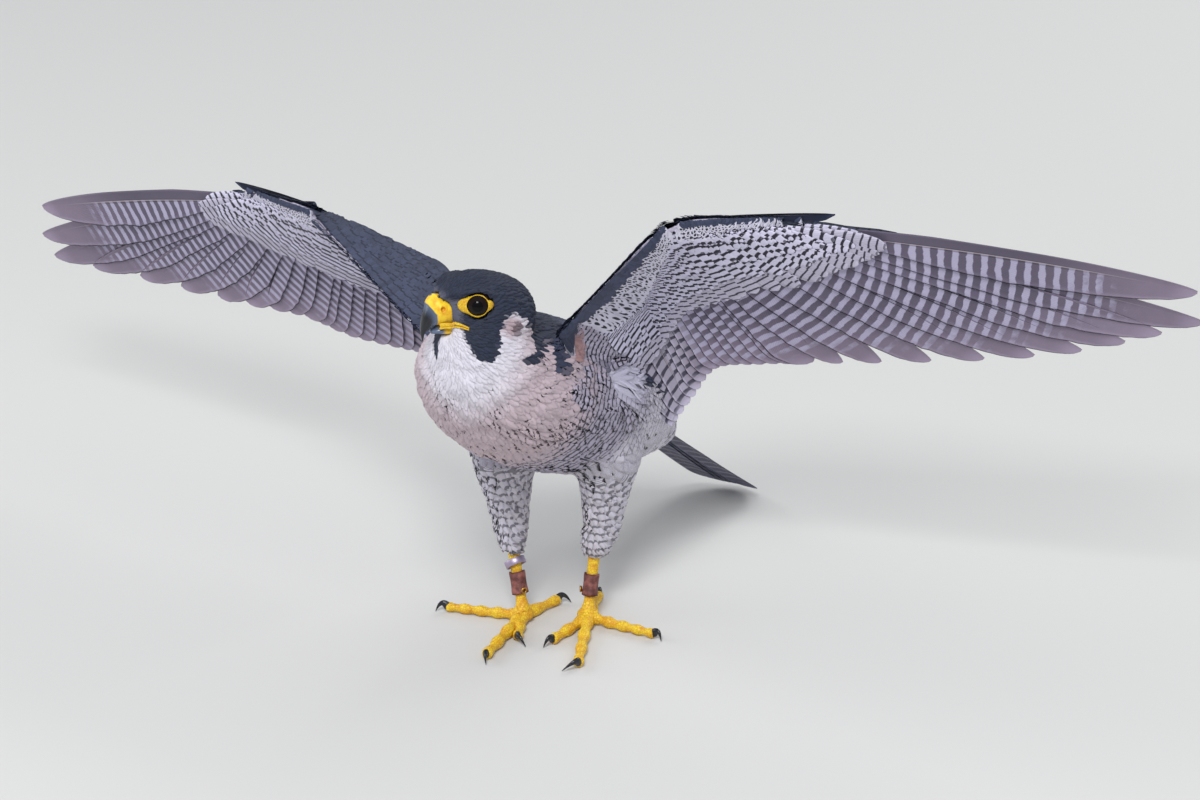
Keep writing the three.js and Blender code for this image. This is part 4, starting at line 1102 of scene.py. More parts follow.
def coverts(name, wing, face, tiers):
    tables = [tier_table(wing, face, tier) for tier in tiers]
    centre, side, normal, wide = (np.concatenate(parts) for parts in zip(*tables))
    counts = [tier.count for tier in tiers]
    tone, ink, gap, bar_width, drop, rim, dark = (
        np.repeat(np.array(parts, float), counts, 0)
        for parts in zip(*(tier.look for tier in tiers))
    )
    length = np.linalg.norm(centre[:, -1] - centre[:, 0], axis=1)
    bars = np.where(gap > 0, length / np.maximum(gap, 1) / MOST_BARS, 0)
    plan = columns(bars, bar_width, drop, dark)
    slate = tongue(centre[:, SEEN_COVERT_STATION])
    tone = mix(tone, SLATE, slate)
    plan[:, :3] *= 1 - slate[:, None]
    more = columns(draw.random(len(wide)), 1.2, 0, rim)
    _, _, uv = on_skin(centre[:, 0])
    looks = {"share": STATIONS_COVERT, "tone": tone, "ink": ink, "plan": plan, "more": more}
    return vane_piece(
        name, centre, side, normal, wide, wide, COLUMNS_COVERT, COVERT_HALF, wide * 0.1 + 0.05,
        looks, root_patches(uv), 0.6,
    )


# %% The tiers of both faces
PLAIN = Look(srgb(188, 184, 204), MARK * 1.5, 5.4, 0.27, 0, 0.2, 0)
WAVED = Look(srgb(206, 203, 226), MARK * 0.85, 5, 0.36, 0, 0.1, 0)
SPOTTED = Look(srgb(220, 218, 236), MARK * 0.8, 0, 0.3, 1.2, 0, 0)
EDGE = Look(SLATE * 1.2, SLATE_BLACK, 0, 0, 0, 0.2, 1)
GREY = Look(SLATE * 1.3, SLATE_BLACK, 6.5, 0.25, 0, 0.3, 1)
DARK = Look(SLATE * 1.1, SLATE_BLACK, 6, 0.2, 0, 0.22, 1)
SPOTTED_ENDS = [(0.11, 0.33), (0.085, 0.275), (0.06, 0.225), (0.04, 0.175), (0.022, 0.13)]
EDGE_ENDS = [(0.005, 0.085), (0.0, 0.05)]
DARK_ENDS = [(0.08, 0.28), (0.05, 0.2), (0.02, 0.14), (-0.01, 0.09)]


def small_tiers(look, count, width, lift, ends):
    """Tiers of small feathers along the whole wing, one for each pair of root and tip."""
    return [Tier(look, -0.9, 27.4, count, root, tip, width, lift) for root, tip in ends]


TIERS_BELOW = [
    Tier(PLAIN, 0, 25.5, 36, 0.45, 1.03, 8, 1.2, 0.7),
    Tier(WAVED, 0, 26.5, 44, 0.34, 0.82, 7, 1.3),
    Tier(WAVED, -0.5, 27, 52, 0.25, 0.64, 6, 1.3),
    Tier(WAVED, -0.5, 27, 60, 0.19, 0.5, 5.2, 1.2),
    Tier(WAVED._replace(gap=3.8), -0.5, 27, 68, 0.14, 0.4, 4.4, 1.1),
    *small_tiers(SPOTTED, 88, 3.0, 0.9, SPOTTED_ENDS),
    *small_tiers(EDGE, 92, 3.0, 0.9, EDGE_ENDS),
]
TIERS_ABOVE = [
    Tier(GREY, 0, 25.5, 32, 0.4, 1.04, 8, 1.3, 0.7),
    Tier(GREY, 0, 26.5, 38, 0.3, 0.76, 7.5, 1.5),
    Tier(DARK, -0.5, 27, 46, 0.2, 0.56, 6.5, 1.6),
    Tier(DARK, -0.5, 27, 54, 0.12, 0.4, 5.5, 1.5),
    *small_tiers(DARK, 80, 3.8, 1.0, DARK_ENDS),
]
wing_coats = {
    label: [
        coverts(f"coverts_below_{label}", wing, -1, TIERS_BELOW),
        coverts(f"coverts_above_{label}", wing, 1, TIERS_ABOVE),
    ]
    for label, wing in wings.items()
}
print("faces in one tier set:", len(wing_coats["left"][0].data.polygons))

# %% [markdown]
# The thumb has a few stiff feathers of its own at the bend of the wing, the alula. They lie
# along the leading edge of the hand, dark, each a little shorter than the last.

# %% Thumb feathers
ALULA_LENGTHS = [80, 66, 52, 38]
LONG_HALF = 0.2
STATIONS_LONG = np.linspace(0, 1, 16)


def thumb_feathers(label, wing):
    number = 7.5
    dorsal = wing.dorsal(number, 0)
    hand = unit(wing.hand_end - wing.wrist)
    ahead = unit(unit(wing.step_ahead(number, 0)) - wing.shaft(number))
    start = wing.wrist + (wing.hand_end - wing.wrist) * 0.2 + dorsal * 5.4 + ahead * 4
    count, stations = len(ALULA_LENGTHS), len(STATIONS_LONG)
    centre = np.zeros((count, stations, 3))
    side, normal = np.zeros_like(centre), np.zeros_like(centre)
    wide = np.tile(outline(STATIONS_LONG, 0.6, 0.1), (count, 1))
    for i, length in enumerate(ALULA_LENGTHS):
        run = unit(hand + dorsal * 0.06 - ahead * 0.1 * i)
        across = unit(ahead - run * (ahead @ run))
        for k, share in enumerate(STATIONS_LONG):
            droop = dorsal * (i * 0.8 - 2.2 * share**2)
            centre[i, k] = start + run * length * share + droop
            side[i, k] = across
            normal[i, k] = dorsal
    looks = {
        "share": STATIONS_LONG, "tone": SLATE * 1.2, "ink": SLATE_BLACK, "plan": [0, 0, 0, 0],
        "more": columns(draw.random(count), 1, 0, 0.6),
    }
    return vane_piece(
        f"thumb_feathers_{label}", centre, side, normal, wide * 7, wide * 2.6, COLUMNS_FINE,
        LONG_HALF, wide * 1.2, looks, strip_patches(count),
    )


thumbs = {label: thumb_feathers(label, wing) for label, wing in wings.items()}

# %% [markdown]
# ## Tail
# Twelve tail feathers close to a narrow fan whose end rests on the floor. The middle pair lies
# on top and each next pair under the last. They are dark with narrow paler bars.

# %% Tail feathers
TAIL_ROOT = np.array([0, 112, 78.0])
TAIL_TIP = np.array([12, 206, 1.0])
TAIL_FEATHERS = 12
TAIL_TONE = srgb(90, 92, 110)
TAIL_BAR = srgb(134, 132, 148)


def tail_feathers():
    stations = 22
    shares = np.linspace(0, 1, stations) ** 0.8
    centre = np.zeros((TAIL_FEATHERS, stations, 3))
    side, normal = np.zeros_like(centre), np.zeros_like(centre)
    for n in range(TAIL_FEATHERS):
        spread = n / (TAIL_FEATHERS - 1) - 0.5
        root = TAIL_ROOT + [22 * spread, 0, 0]
        tip = TAIL_TIP + [36 * spread, 0, 0]
        run = unit(tip - root)
        tip = tip - run * 10 * (2 * spread) ** 2
        turn = -1 if n < TAIL_FEATHERS / 2 else 1
        rank = TAIL_FEATHERS / 2 - 1 - n if turn < 0 else n - TAIL_FEATHERS / 2
        up = unit(np.cross([1, 0, 0], run))
        drop = 3.2 - 0.5 * rank - (0.25 if turn < 0 else 0)
        for k, share in enumerate(shares):
            sag = 2.4 * math.sin(math.pi * share)
            centre[n, k] = root + (tip - root) * share + up * (drop - sag * 0.4)
            side[n, k] = [turn, 0, 0]
            normal[n, k] = up
    wide = np.tile(outline(shares, 0.88, 0.3), (TAIL_FEATHERS, 1))
    looks = {
        "share": shares, "tone": TAIL_TONE, "ink": TAIL_BAR, "plan": [0.55, 0.3, 0, 0],
        "more": columns(draw.random(TAIL_FEATHERS) * 0.3, 0.9, 0, 0.7),
    }
    return vane_piece(
        "tail_feathers", centre, side, normal, wide * 11, wide * 7, COLUMNS_FINE,
        LONG_HALF, wide * 0.8, looks, strip_patches(TAIL_FEATHERS),
    )


tail = tail_feathers()
lowest = own_points(tail)[:, 2].min()
print("lowest point of the tail in mm:", round(float(lowest), 2))

# %% [markdown]
# ## The lie of the coat
# Feathers lie away from the bill over the head, aft along the body, and down the thighs. The
# coat is planted by throwing darts: places on the skin are drawn at random, and one is kept
# where no neighbour stands too close. Each feather is then walked along the skin, a
# few short steps with the lie, so it hugs the body, and it rises a little towards its tip.

# %% Direction and size of the body's feathers
BILL_BASE = in_head(31, 0, -3)
ARM_SEARCH = 30
FAR_AWAY = 1e3
LEGS = {
    "left": (np.array([26, 14, 110.0]), np.array([20.3, 9.4, 37.4])),
    "right": (np.array([-33, 0, 110.0]), np.array([-22.6, -11.6, 37.4])),
}


def flattened(vectors, normals):
    """The part of each vector that lies in the surface."""
    return vectors - normals * (vectors * normals).sum(1, keepdims=True)


def lie(points, normals):
    """The direction in which a feather at each point lies."""
    x, _, z = points.T
    from_bill = unit(points - BILL_BASE) - head_forward * 0.5
    on_head = step(52, 30, np.linalg.norm(points - HEAD_CENTRE, axis=1))
    flow = mix(np.tile(BODY_AXIS, (len(points), 1)), from_bill, on_head)
    along = (points - BODY_START) @ BODY_AXIS
    on_thigh = step(112, 88, z) * step(96, 84, along - 0.5 * np.maximum(0, 60 - z))
    for label, (hip, heel) in LEGS.items():
        down = unit(heel - hip) + np.array([0, 0.15, 0])
        flow = mix(flow, down, on_thigh * step(-2, 6, SIDES[label] * x))
    return unit(flattened(flow, normals))


def feather_sizes(points):
    """Spacing, length and half width of the feathers at each point."""
    away = np.linalg.norm(points - in_head(24, 0, 2), axis=1)
    spacing = np.interp(away, [6, 26, 50, 80, 150], [0.95, 1.45, 2.15, 2.9, 4.4])
    leg = step(110, 90, points[:, 2])
    on_leg = np.interp(points[:, 2], [38, 60, 110], [2.2, 2.8, 3.4])
    spacing = spacing * (1 - leg) + on_leg * leg
    length = spacing * np.interp(spacing, [1, 2, 4.4], [3.4, 3.9, 3.9])
    width = spacing * np.interp(spacing, [1, 2, 4.4], [0.6, 0.8, 0.95])
    return spacing, length, width


def wanted_spacing(points):
    return feather_sizes(points)[0]


def plant(region, tries):
    """Places on the skin inside a region, spread evenly at the wanted spacing."""
    corners = skin_points[skin_faces]
    middle = corners.mean(1)
    edges = corners[:, 1:] - corners[:, :1]
    size = np.linalg.norm(np.cross(edges[:, 0], edges[:, 1]), axis=1)
    chance = size * region(middle) / wanted_spacing(middle) ** 2
    picks = draw.choice(len(chance), tries, p=chance / chance.sum())
    a, b = draw.random((2, tries, 1))
    flip = (a + b) > 1
    a, b = np.where(flip, 1 - a, a), np.where(flip, 1 - b, b)
    first, second, third = corners[picks].swapaxes(0, 1)
    places = first * (1 - a - b) + second * a + third * b
    gaps = wanted_spacing(places)
    cell = float(gaps.max())
    grid, kept = {}, []
    for i in range(tries):
        x, y, z = (int(math.floor(v / cell)) for v in places[i])
        near = [
            j
            for dx, dy, dz in product((-1, 0, 1), repeat=3)
            for j in grid.get((x + dx, y + dy, z + dz), ())
        ]
        if near and ((places[near] - places[i]) ** 2).sum(1).min() < gaps[i] ** 2:
            continue
        grid.setdefault((x, y, z), []).append(i)
        kept.append(i)
    return places[kept]


def arm_distance(points):
    """How far each point is from the nearer arm, negative inside."""
    result = np.full(len(points), FAR_AWAY)
    world = (points + shift) * MM
    for shape in arm_shapes:
        for i, p in enumerate(world):
            place, facing, _, apart = shape.find_nearest(Vector(p), ARM_SEARCH * MM)
            if place is None:
                continue
            inside = (Vector(p) - place).dot(facing) < 0
            result[i] = min(result[i], -apart / MM if inside else apart / MM)
    return result


# %% Bare places round the eyes, bill and mouth
EYE_TURN = math.radians(29)
EYE_TILT = math.radians(8)
EYE_RADIUS = 8.0
CORNEA_RISE = 0.55


def eye_axis(side):
    flat = math.cos(EYE_TILT)
    return (
        head_left * side * math.cos(EYE_TURN) * flat
        + head_forward * math.sin(EYE_TURN) * flat
        + head_up * math.sin(EYE_TILT)
    )


def eye_centre(side):
    return on_side(EYE_PLACE, side)


def lid_reach(angle):
    """The bare ring's outer edge: wide below in front, drawn to corners before and behind."""
    c, s = np.cos(angle), np.sin(angle)
    front = np.maximum(c, 0) ** 6
    rear = np.maximum(-c, 0) ** 12
    low = np.maximum(-(s * 0.8 - c * 0.35), 0) ** 2
    return 6.5 + 4.9 * front + 2.4 * rear + 1.0 * low


def eye_frame(side):
    axis = eye_axis(side)
    ahead = unit(head_forward - axis * (head_forward @ axis))
    above = np.cross(axis, ahead) * side
    above = above if above @ head_up > 0 else -above
    return axis, ahead, above


def bare(points):
    """True where no feather grows: round the eye, on the cere and at the gape."""
    f, l, u = head_places(points)
    result = f > 32.5 + 0.9 * step(5, 8, u) - 0.12 * np.abs(u - 4)
    result |= (f > 24.5) & (u < 7.5) & (u > -9) & (f > 24.5 + 0.5 * np.maximum(u - 1.5, 0))
    for side in (1, -1):
        axis, ahead, above = eye_frame(side)
        off = points - eye_centre(side)
        x, y, out = off @ ahead, off @ above, off @ axis
        angle = np.arctan2(y, x)
        result |= (np.hypot(x, y) < lid_reach(angle) - 0.2) & (out > 0)
    near_gape = (np.abs(u + 5.4) < 0.9 + 0.12 * (f - 19)) & (f > 19) & (np.abs(l) > 6)
    return result | near_gape


# %% Planting and growing the body's feathers
STATIONS_BODY = np.array([0.0, 0.22, 0.5, 0.76, 0.93, 1.0])
COLUMNS_BODY = [-1, 0, 1]
BODY_HALF = 0.07
HEAD_COAT_RADIUS = 44
HEEL_HEIGHT = 36
BODY_HALF_WIDTH = 66
THIGH_TOP = 112
THIGH_REAR = 100
ARM_MARGIN = 1.0
BODY_BAR = 4.4
LEG_BAR = 5.2
SEEN_STATION = 3
MOST_IN_A_PIECE = 4400


def plumage_of(places, normals):
    """Colours on the body and on the base of the arms, where only the upper face is dark."""
    tone, ink, plan = plumage(places, normals)
    on_arm = step(2.5, 0.5, arm_distance(places))
    on_arm = on_arm * np.maximum(step(-46, -37, places[:, 1]), step(42, 48, np.abs(places[:, 0])))
    left_up, right_up = (normals @ wing.dorsal(23, 0.1) for wing in wings.values())
    upper = step(-0.25, 0.15, np.where(places[:, 0] > 0, left_up, right_up))
    tone = mix(tone, mix(np.broadcast_to(LILAC * 1.05, tone.shape), SLATE, upper), on_arm)
    ink = mix(ink, mix(np.broadcast_to(MARK, ink.shape), SLATE_BLACK, upper), on_arm)
    plan = mix(plan, columns(1 - upper, 0.3 * (1 - upper), 0, upper), on_arm)
    slate = tongue(places)
    tone = mix(tone, SLATE, slate * 0.9)
    plan[:, 0] = plan[:, 0] * (1 - slate)
    patch = step(1.15, 0.8, np.linalg.norm((places - PATCH_PLACE) / PATCH_FORM, axis=1))
    tone = mix(tone, SALMON, patch * 0.9)
    plan[:, :3] *= 1 - 0.8 * patch[:, None]
    return tone, ink, plan


def ripple(points):
    """A slow turning of the lie from place to place, which gathers feathers in clumps."""
    x, y, z = points.T
    return 0.12 * np.sin(0.21 * x + 0.13 * z) * np.sin(0.16 * y - 0.2 * z + 1)


def grow(name, roots, loft_rate, softness=0.1, fluff=1.0, soft=0.5):
    count, stations = len(roots), len(STATIONS_BODY)
    _, length, width = feather_sizes(roots)
    length = length * draw.uniform(0.85, 1.2, count) * fluff
    width = width / fluff
    place, facing, uv = on_skin(roots)
    turn = draw.normal(0, softness * fluff, count) + ripple(place)
    centre, normal = np.zeros((count, stations, 3)), np.zeros((count, stations, 3))
    sideways = np.zeros_like(centre)
    way = lie(place, facing)
    here = place
    for k, share in enumerate(STATIONS_BODY):
        if k:
            stride = (STATIONS_BODY[k] - STATIONS_BODY[k - 1]) * length
            here, facing, _ = on_skin(here + way * stride[:, None])
            fresh = lie(here, facing)
            way = unit(way * 0.4 + fresh)
        across = np.cross(facing, way)
        bent = unit(way + across * turn[:, None])
        rise = -0.25 + (0.3 + loft_rate * length) * share
        centre[:, k] = here + facing * rise[:, None]
        normal[:, k] = facing
        sideways[:, k] = np.cross(facing, bent)
        way = flattened(bent, facing)
        if k == SEEN_STATION:
            tone, ink, plan = plumage_of(here, facing)
    rounded = outline(STATIONS_BODY, 0.45, 0.08, 0.55, 2.2)
    wide = width[:, None] * rounded[None] * draw.uniform(0.85, 1.15, (count, 1))
    more = columns(draw.random(count), 1.3, 0, np.where(plan[:, 3] > 0.5, 0.16, 0.0))
    plan[:, 0] /= MOST_BARS
    along = (centre - BODY_START) @ BODY_AXIS
    low = leg_share(centre)
    phase = along / BODY_BAR * (1 - low) - centre[..., 2] / LEG_BAR * low
    looks = {
        "share": STATIONS_BODY,
        "tone": tone, "ink": ink, "plan": plan, "more": more, "phase": phase,
    }
    return vane_piece(
        name, centre, sideways, normal, wide, wide, COLUMNS_BODY, BODY_HALF, wide * 0.08,
        looks, root_patches(uv), soft,
    )


def in_head_coat(points):
    f, _, u = head_places(points)
    near = np.linalg.norm(points - HEAD_CENTRE, axis=1) < HEAD_COAT_RADIUS
    return near & (u > -27 + 0.1 * f)


def head_region(points):
    return in_head_coat(points) & ~bare(points)


def body_region(points):
    off_heel = points[:, 2] >= HEEL_HEIGHT
    return ~in_head_coat(points) & off_heel & (np.abs(points[:, 0]) < BODY_HALF_WIDTH)


def near_shoulder(points):
    """True on the base of an arm, which the body's own feathers cover."""
    result = np.zeros(len(points), bool)
    for wing in wings.values():
        bone = wing.shoulder - wing.elbow
        share = (points - wing.elbow) @ bone / (bone @ bone)
        off = np.linalg.norm(points - wing.elbow - np.outer(share, bone), axis=1)
        result |= (share > 0.35) & (off < 30)
    return result


def grow_in_parts(name, roots, loft_rate):
    """Grows a large coat in pieces of a handy size, from front to rear."""
    order = np.argsort((roots - BODY_START) @ BODY_AXIS)
    parts = np.array_split(order, math.ceil(len(roots) / MOST_IN_A_PIECE))
    return [grow(f"{name}_{i + 1}", roots[part], loft_rate) for i, part in enumerate(parts)]


def scattered(roots, copies, spread):
    """Roots for loose down, a few about each of the coat's own."""
    return np.repeat(roots, copies, 0) + draw.normal(0, spread, (copies * len(roots), 3))


# %% The coat of head, body and thighs
FULL_TRIES = (40000, 70000)
TUFT_RADIUS = 16
FRINGE_TOP = 66
FRINGE_REAR = 40

head_tries, body_tries = FULL_TRIES
head_roots = plant(head_region, head_tries)
body_roots = plant(body_region, body_tries)
off_arms = arm_distance(body_roots) > ARM_MARGIN
body_roots = body_roots[off_arms | near_shoulder(body_roots)]
head_coats = grow_in_parts("head_feathers", head_roots, 0.07)
aft = (body_roots - BODY_START) @ BODY_AXIS
thigh_part = (body_roots[:, 2] < THIGH_TOP) & (aft < THIGH_REAR)
body_coats = grow_in_parts("body_feathers", body_roots[~thigh_part], 0.05)
thigh_coats = grow_in_parts("thigh_feathers", body_roots[thigh_part], 0.07)
tuft_roots = scattered(body_roots[tuft_distance(body_roots) < TUFT_RADIUS], 3, 1.2)
down_tuft = grow("down_tuft", tuft_roots, 0.2, 0.12, 1.8, 0.6)
in_fringe = (body_roots[:, 2] < FRINGE_TOP) & (body_roots[:, 1] < FRINGE_REAR)
leg_fringe = grow("leg_fringe", scattered(body_roots[in_fringe], 2, 1.0), 0.13, 0.16, 1.45, 0.6)
print("feathers on the head:", len(head_roots), "and body:", len(body_roots))

# %% [markdown]
# ## Eyes
# A falcon's eye is large and almost black. The ball starts as a sphere, and the clear cornea is
# pushed out at its pole. The bare yellow ring of the lids is a closed band round it:
# its inner edge rests on the ball and its outer edge runs into the skin, drawn out to a corner
# in front and behind.

# %% Closed bands, eyes and lids


def band(name, sections):
    """A closed tube whose cross sections run round in a circle."""
    sections = np.asarray(sections)
    turns, size = sections.shape[:2]
    faces = [
        (i * size + j, ((i + 1) % turns) * size + j, ((i + 1) % turns) * size + (j + 1) % size,
         i * size + (j + 1) % size)
        for i in range(turns)
        for j in range(size)
    ]
    piece = new_piece(name, sections.reshape(-1, 3), faces)
    edit_mesh(piece, bpy.ops.mesh.normals_make_consistent, inside=False)
    return piece


def ball(name, segments, rings, radius):
    bpy.ops.mesh.primitive_uv_sphere_add(segments=segments, ring_count=rings, radius=radius)
    piece = bpy.context.object
    piece.name = name
    piece.data.shade_smooth()
    piece.select_set(False)
    return piece


def turned_band(name, centre, axis, profile, turns):
    """A band with one profile, in radii and heights, all the way round an upright axis."""
    flat = unit(np.cross([0, 0, 1], axis))
    rise = np.cross(axis, flat)
    ways = [math.cos(angle) * flat + math.sin(angle) * rise for angle in circle(turns)]
    return band(name, [[centre + way * r + axis * h for r, h in profile] for way in ways])


def eyeball(label, side):
    piece = ball("eyeball_" + label, 48, 32, EYE_RADIUS * MM)
    axis, ahead, _ = eye_frame(side)
    local = vertex_values(piece, "co") / MM
    across = np.hypot(local[:, 0], local[:, 1])
    cornea = step(5.2, 2.0, across) * (local[:, 2] > 0)
    local[:, 2] += CORNEA_RISE * cornea
    points = (
        eye_centre(side)
        + np.outer(local[:, 2], axis)
        + np.outer(local[:, 0], ahead)
        + np.outer(local[:, 1], np.cross(axis, ahead))
    )
    set_points(piece, points)
    return piece


LID_INNER = 5.9
LID_TURNS = 72


def lid_ring(label, side):
    axis, ahead, above = eye_frame(side)
    centre = eye_centre(side)
    ball_height = math.sqrt(EYE_RADIUS**2 - LID_INNER**2)
    sections = []
    for angle in circle(LID_TURNS):
        out = math.cos(angle) * ahead + math.sin(angle) * above
        reach = float(lid_reach(angle))
        inner = LID_INNER * (1 + 0.05 * max(math.cos(angle), 0) ** 8)
        guess = centre + out * reach + axis * 3.5
        place, facing, _ = on_skin([guess])
        rim = (place[0] + facing[0] * 0.7 - centre) @ axis
        wrinkle = 0.12 * math.sin(9 * angle) + 0.07 * math.sin(23 * angle)
        profile = [
            (inner - 0.15, ball_height - 1.4),
            (inner, ball_height + 0.35),
            (inner + 0.12, ball_height + 0.6),
            (inner + 0.26, ball_height + 0.5 + wrinkle * 0.4),
            (inner * 0.45 + reach * 0.55, (ball_height + rim) / 2 + 0.55 + wrinkle),
            (reach * 0.92 + inner * 0.08, rim + 0.15),
            (reach, rim - 0.5),
            (reach - 0.2, rim - 1.8),
            (inner * 0.5 + reach * 0.5, min(rim, ball_height) - 1.6),
        ]
        sections.append([centre + out * r + axis * h for r, h in profile])
    return band("lids_" + label, sections)


eyeballs = {label: eyeball(label, side) for label, side in SIDES.items()}
lids = {label: lid_ring(label, side) for label, side in SIDES.items()}
print("eye pieces:", len(eyeballs) + len(lids))

# %% [markdown]
# ## Bill
# The upper bill is lofted along its ridge and its cutting edge, from the soft yellow
# cere to the black hook. The nostril is pressed into the cere as a round pit with a raised rim
# and a small peg in the middle, which falcons have. The lower bill fits under it, and a
# yellow lip runs back along the mouth to the corner below the eye.

# %% Bill, nostrils and lips
BILL_UPPER = [
    (20, 7.0, 18, -7.6, 9.2), (28, 9.0, 25, -7.8, 8.8), (33, 9.4, 29, -8.1, 8.1),
    (36, 7.3, 32, -8.6, 6.8), (38, 2.2, 34.2, -9.6, 5.4), (39.4, -3.6, 36, -11.2, 3.9),
    (39.9, -9.4, 37.2, -12.8, 2.4), (39.5, -14, 37.6, -15, 1.2), (38.3, -17.9, 37.7, -17.6, 0.45),
]
BILL_LOWER = [
    (17, -8.4, 17, -13, 9), (24, -8.4, 24, -13.8, 7), (30, -9, 29.6, -13.8, 5),
    (34, -11.2, 33.4, -13.6, 2.6),
]
NOSTRIL_PLACE = (30.6, 7.4, 3.2)
NOSTRIL_RADIUS = 1.35
LIP_LINE = [(31, 5.6, -8.2), (28, 8.8, -6.9), (25, 12.2, -5.9), (22, 15, -5.5), (18.8, 17.6, -6.0)]


def bill_half(name, rows, steps, sides):
    rings = []
    for i in range(steps):
        f0, u0, f1, u1, half = row_at(rows, i / (steps - 1))
        top, bottom = in_head(f0, 0, u0), in_head(f1, 0, u1)
        rise = top - bottom
        height = np.linalg.norm(rise) / 2
        rings.append(oval((top + bottom) / 2, head_left, unit(rise), half, height, sides))
    return loft(name, rings)


def shaped_upper_bill():
    piece = bill_half("upper_bill", BILL_UPPER, 110, 88)
    points = own_points(piece)
    f, _, u = head_places(points)
    cere = step(34.4, 33.2, f - 0.74 * np.maximum(u, 0) - 0.3 * np.minimum(u, 0))
    push = 0.3 * cere * step(-7.5, -4, u) * step(30.5, 32.5, f + 0.3 * np.minimum(7 - u, 0))
    for side in (1, -1):
        apart = np.linalg.norm(points - on_side(NOSTRIL_PLACE, side), axis=1)
        push += 0.5 * np.exp(-(((apart - NOSTRIL_RADIUS - 0.55) / 0.45) ** 2))
        push -= 1.7 * step(NOSTRIL_RADIUS + 0.25, NOSTRIL_RADIUS - 0.35, apart)
        push += 1.3 * step(0.62, 0.3, apart)
    tooth = np.exp(-(((f - 35.2) / 1.0) ** 2)) * step(-8, -10.5, u)
    points = points + vertex_values(piece, "normal") * push[:, None]
    set_points(piece, points - head_up * (0.9 * tooth)[:, None])
    return piece


def lip(name, side, level, radius):
    rings = []
    for share in np.linspace(0, 1, 22):
        tall = (0.95 if level > 0 else 0.25) * (1 - share) + 0.4
        point = on_side(row_at(LIP_LINE, share), side)
        point = point + head_up * (level * 0.3 + math.copysign(tall, level) * 0.85)
        if share > 0.4:
            place, facing, _ = on_skin([point])
            point = place[0] + facing[0] * 0.5
        size = radius * (1 - 0.5 * share**2) * min(1, 0.35 + share * 2)
        behind = on_side(row_at(LIP_LINE, share + 0.05), side)
        run = unit(behind - on_side(row_at(LIP_LINE, share - 0.05), side))
        out = unit(np.cross(run, head_up))
        rings.append(oval(point, out, unit(np.cross(out, run)), size, tall, 12))
    return loft(name, rings)


upper_bill = shaped_upper_bill()
lower_bill = bill_half("lower_bill", BILL_LOWER, 40, 40)
lips = join(
    [
        lip(f"lip_{label}_{level}", side, level, 0.85)
        for label, side in SIDES.items()
        for level in (0.6, -0.6)
    ],
    "lips",
)
print("faces in the upper bill:", len(upper_bill.data.polygons))

# %% [markdown]
# ## Legs and feet
# The bare leg below the feathers is yellow. Its toes swell at each joint and carry a row of
# broad scutes on top, with grains at the sides and pads below. The scutes are raised in the
# surface of the toe itself, as steps that run round its upper half. Toes, palm and leg are
# then joined into one closed foot.

# %% Feet
TARSUS_RADIUS = (3.1, 3.5)
PALM_RADIUS = 6.6
PALM_HEIGHT = 5.5
FEET = {
    "right": {
        "sole": (-12, -20, 8.5), "top": (-22.6, -11.6, 37.4),
        "outer": ((-56.7, -31.6), (-63.1, -36.6), 3.4, 4),
        "middle": ((-5, -72.2), (-1, -80), 3.9, 3),
        "inner": ((-1.4, -43.1), (7.4, -48.8), 3.7, 2),
        "hind": ((-5, 8.4), (1.5, 14.5), 3.7, 1),
    },
    "left": {
        "sole": (23.1, -2, 8.5), "top": (20.3, 9.4, 37.4),
        "outer": ((66.2, -0.6), (73.6, -3), 3.4, 4),
        "middle": ((46.8, -54.4), (41.5, -64.5), 3.9, 3),
        "inner": ((19.2, -36.3), (17, -44.5), 3.7, 2),
        "hind": ((14, 26), (10, 33.5), 3.7, 1),
    },
}
TOES = ["outer", "middle", "inner", "hind"]
UP = np.array([0, 0, 1.0])
SCUTE = 2.1
TOE_SCUTE_DEPTH = 0.34
LEG_SCUTE_DEPTH = 0.2
TOE_STEP = 0.42
TOE_SIDES = 26
TOE_END = [(0.8, 0.8), (1.3, 0.62), (1.6, 0.3)]
LEG_STEP = 0.5
LEG_SIDES = 28


def scute_relief(run, angles, depth):
    """Height of the scutes at a distance along a toe, round its upper half."""
    phase = run / SCUTE - math.floor(run / SCUTE)
    plate = 1 - (2 * phase - 1) ** 6 - 0.35 * phase
    top = step(0.15, 0.45, np.sin(angles))
    grain = 0.35 * np.sin(run * 3.1 + angles * 5) * np.sin(angles * 9 + run) * (1 - top)
    return depth * (plate * top + grain)


def leg_axes(foot):
    """The leg's lower and upper end, the way up it, and two directions across it."""
    sole, top = np.array(foot["sole"]), np.array(foot["top"])
    run = unit(top - sole)
    across = unit(np.cross([0, -1, 0], run))
    return sole, top, run, across, np.cross(run, across)


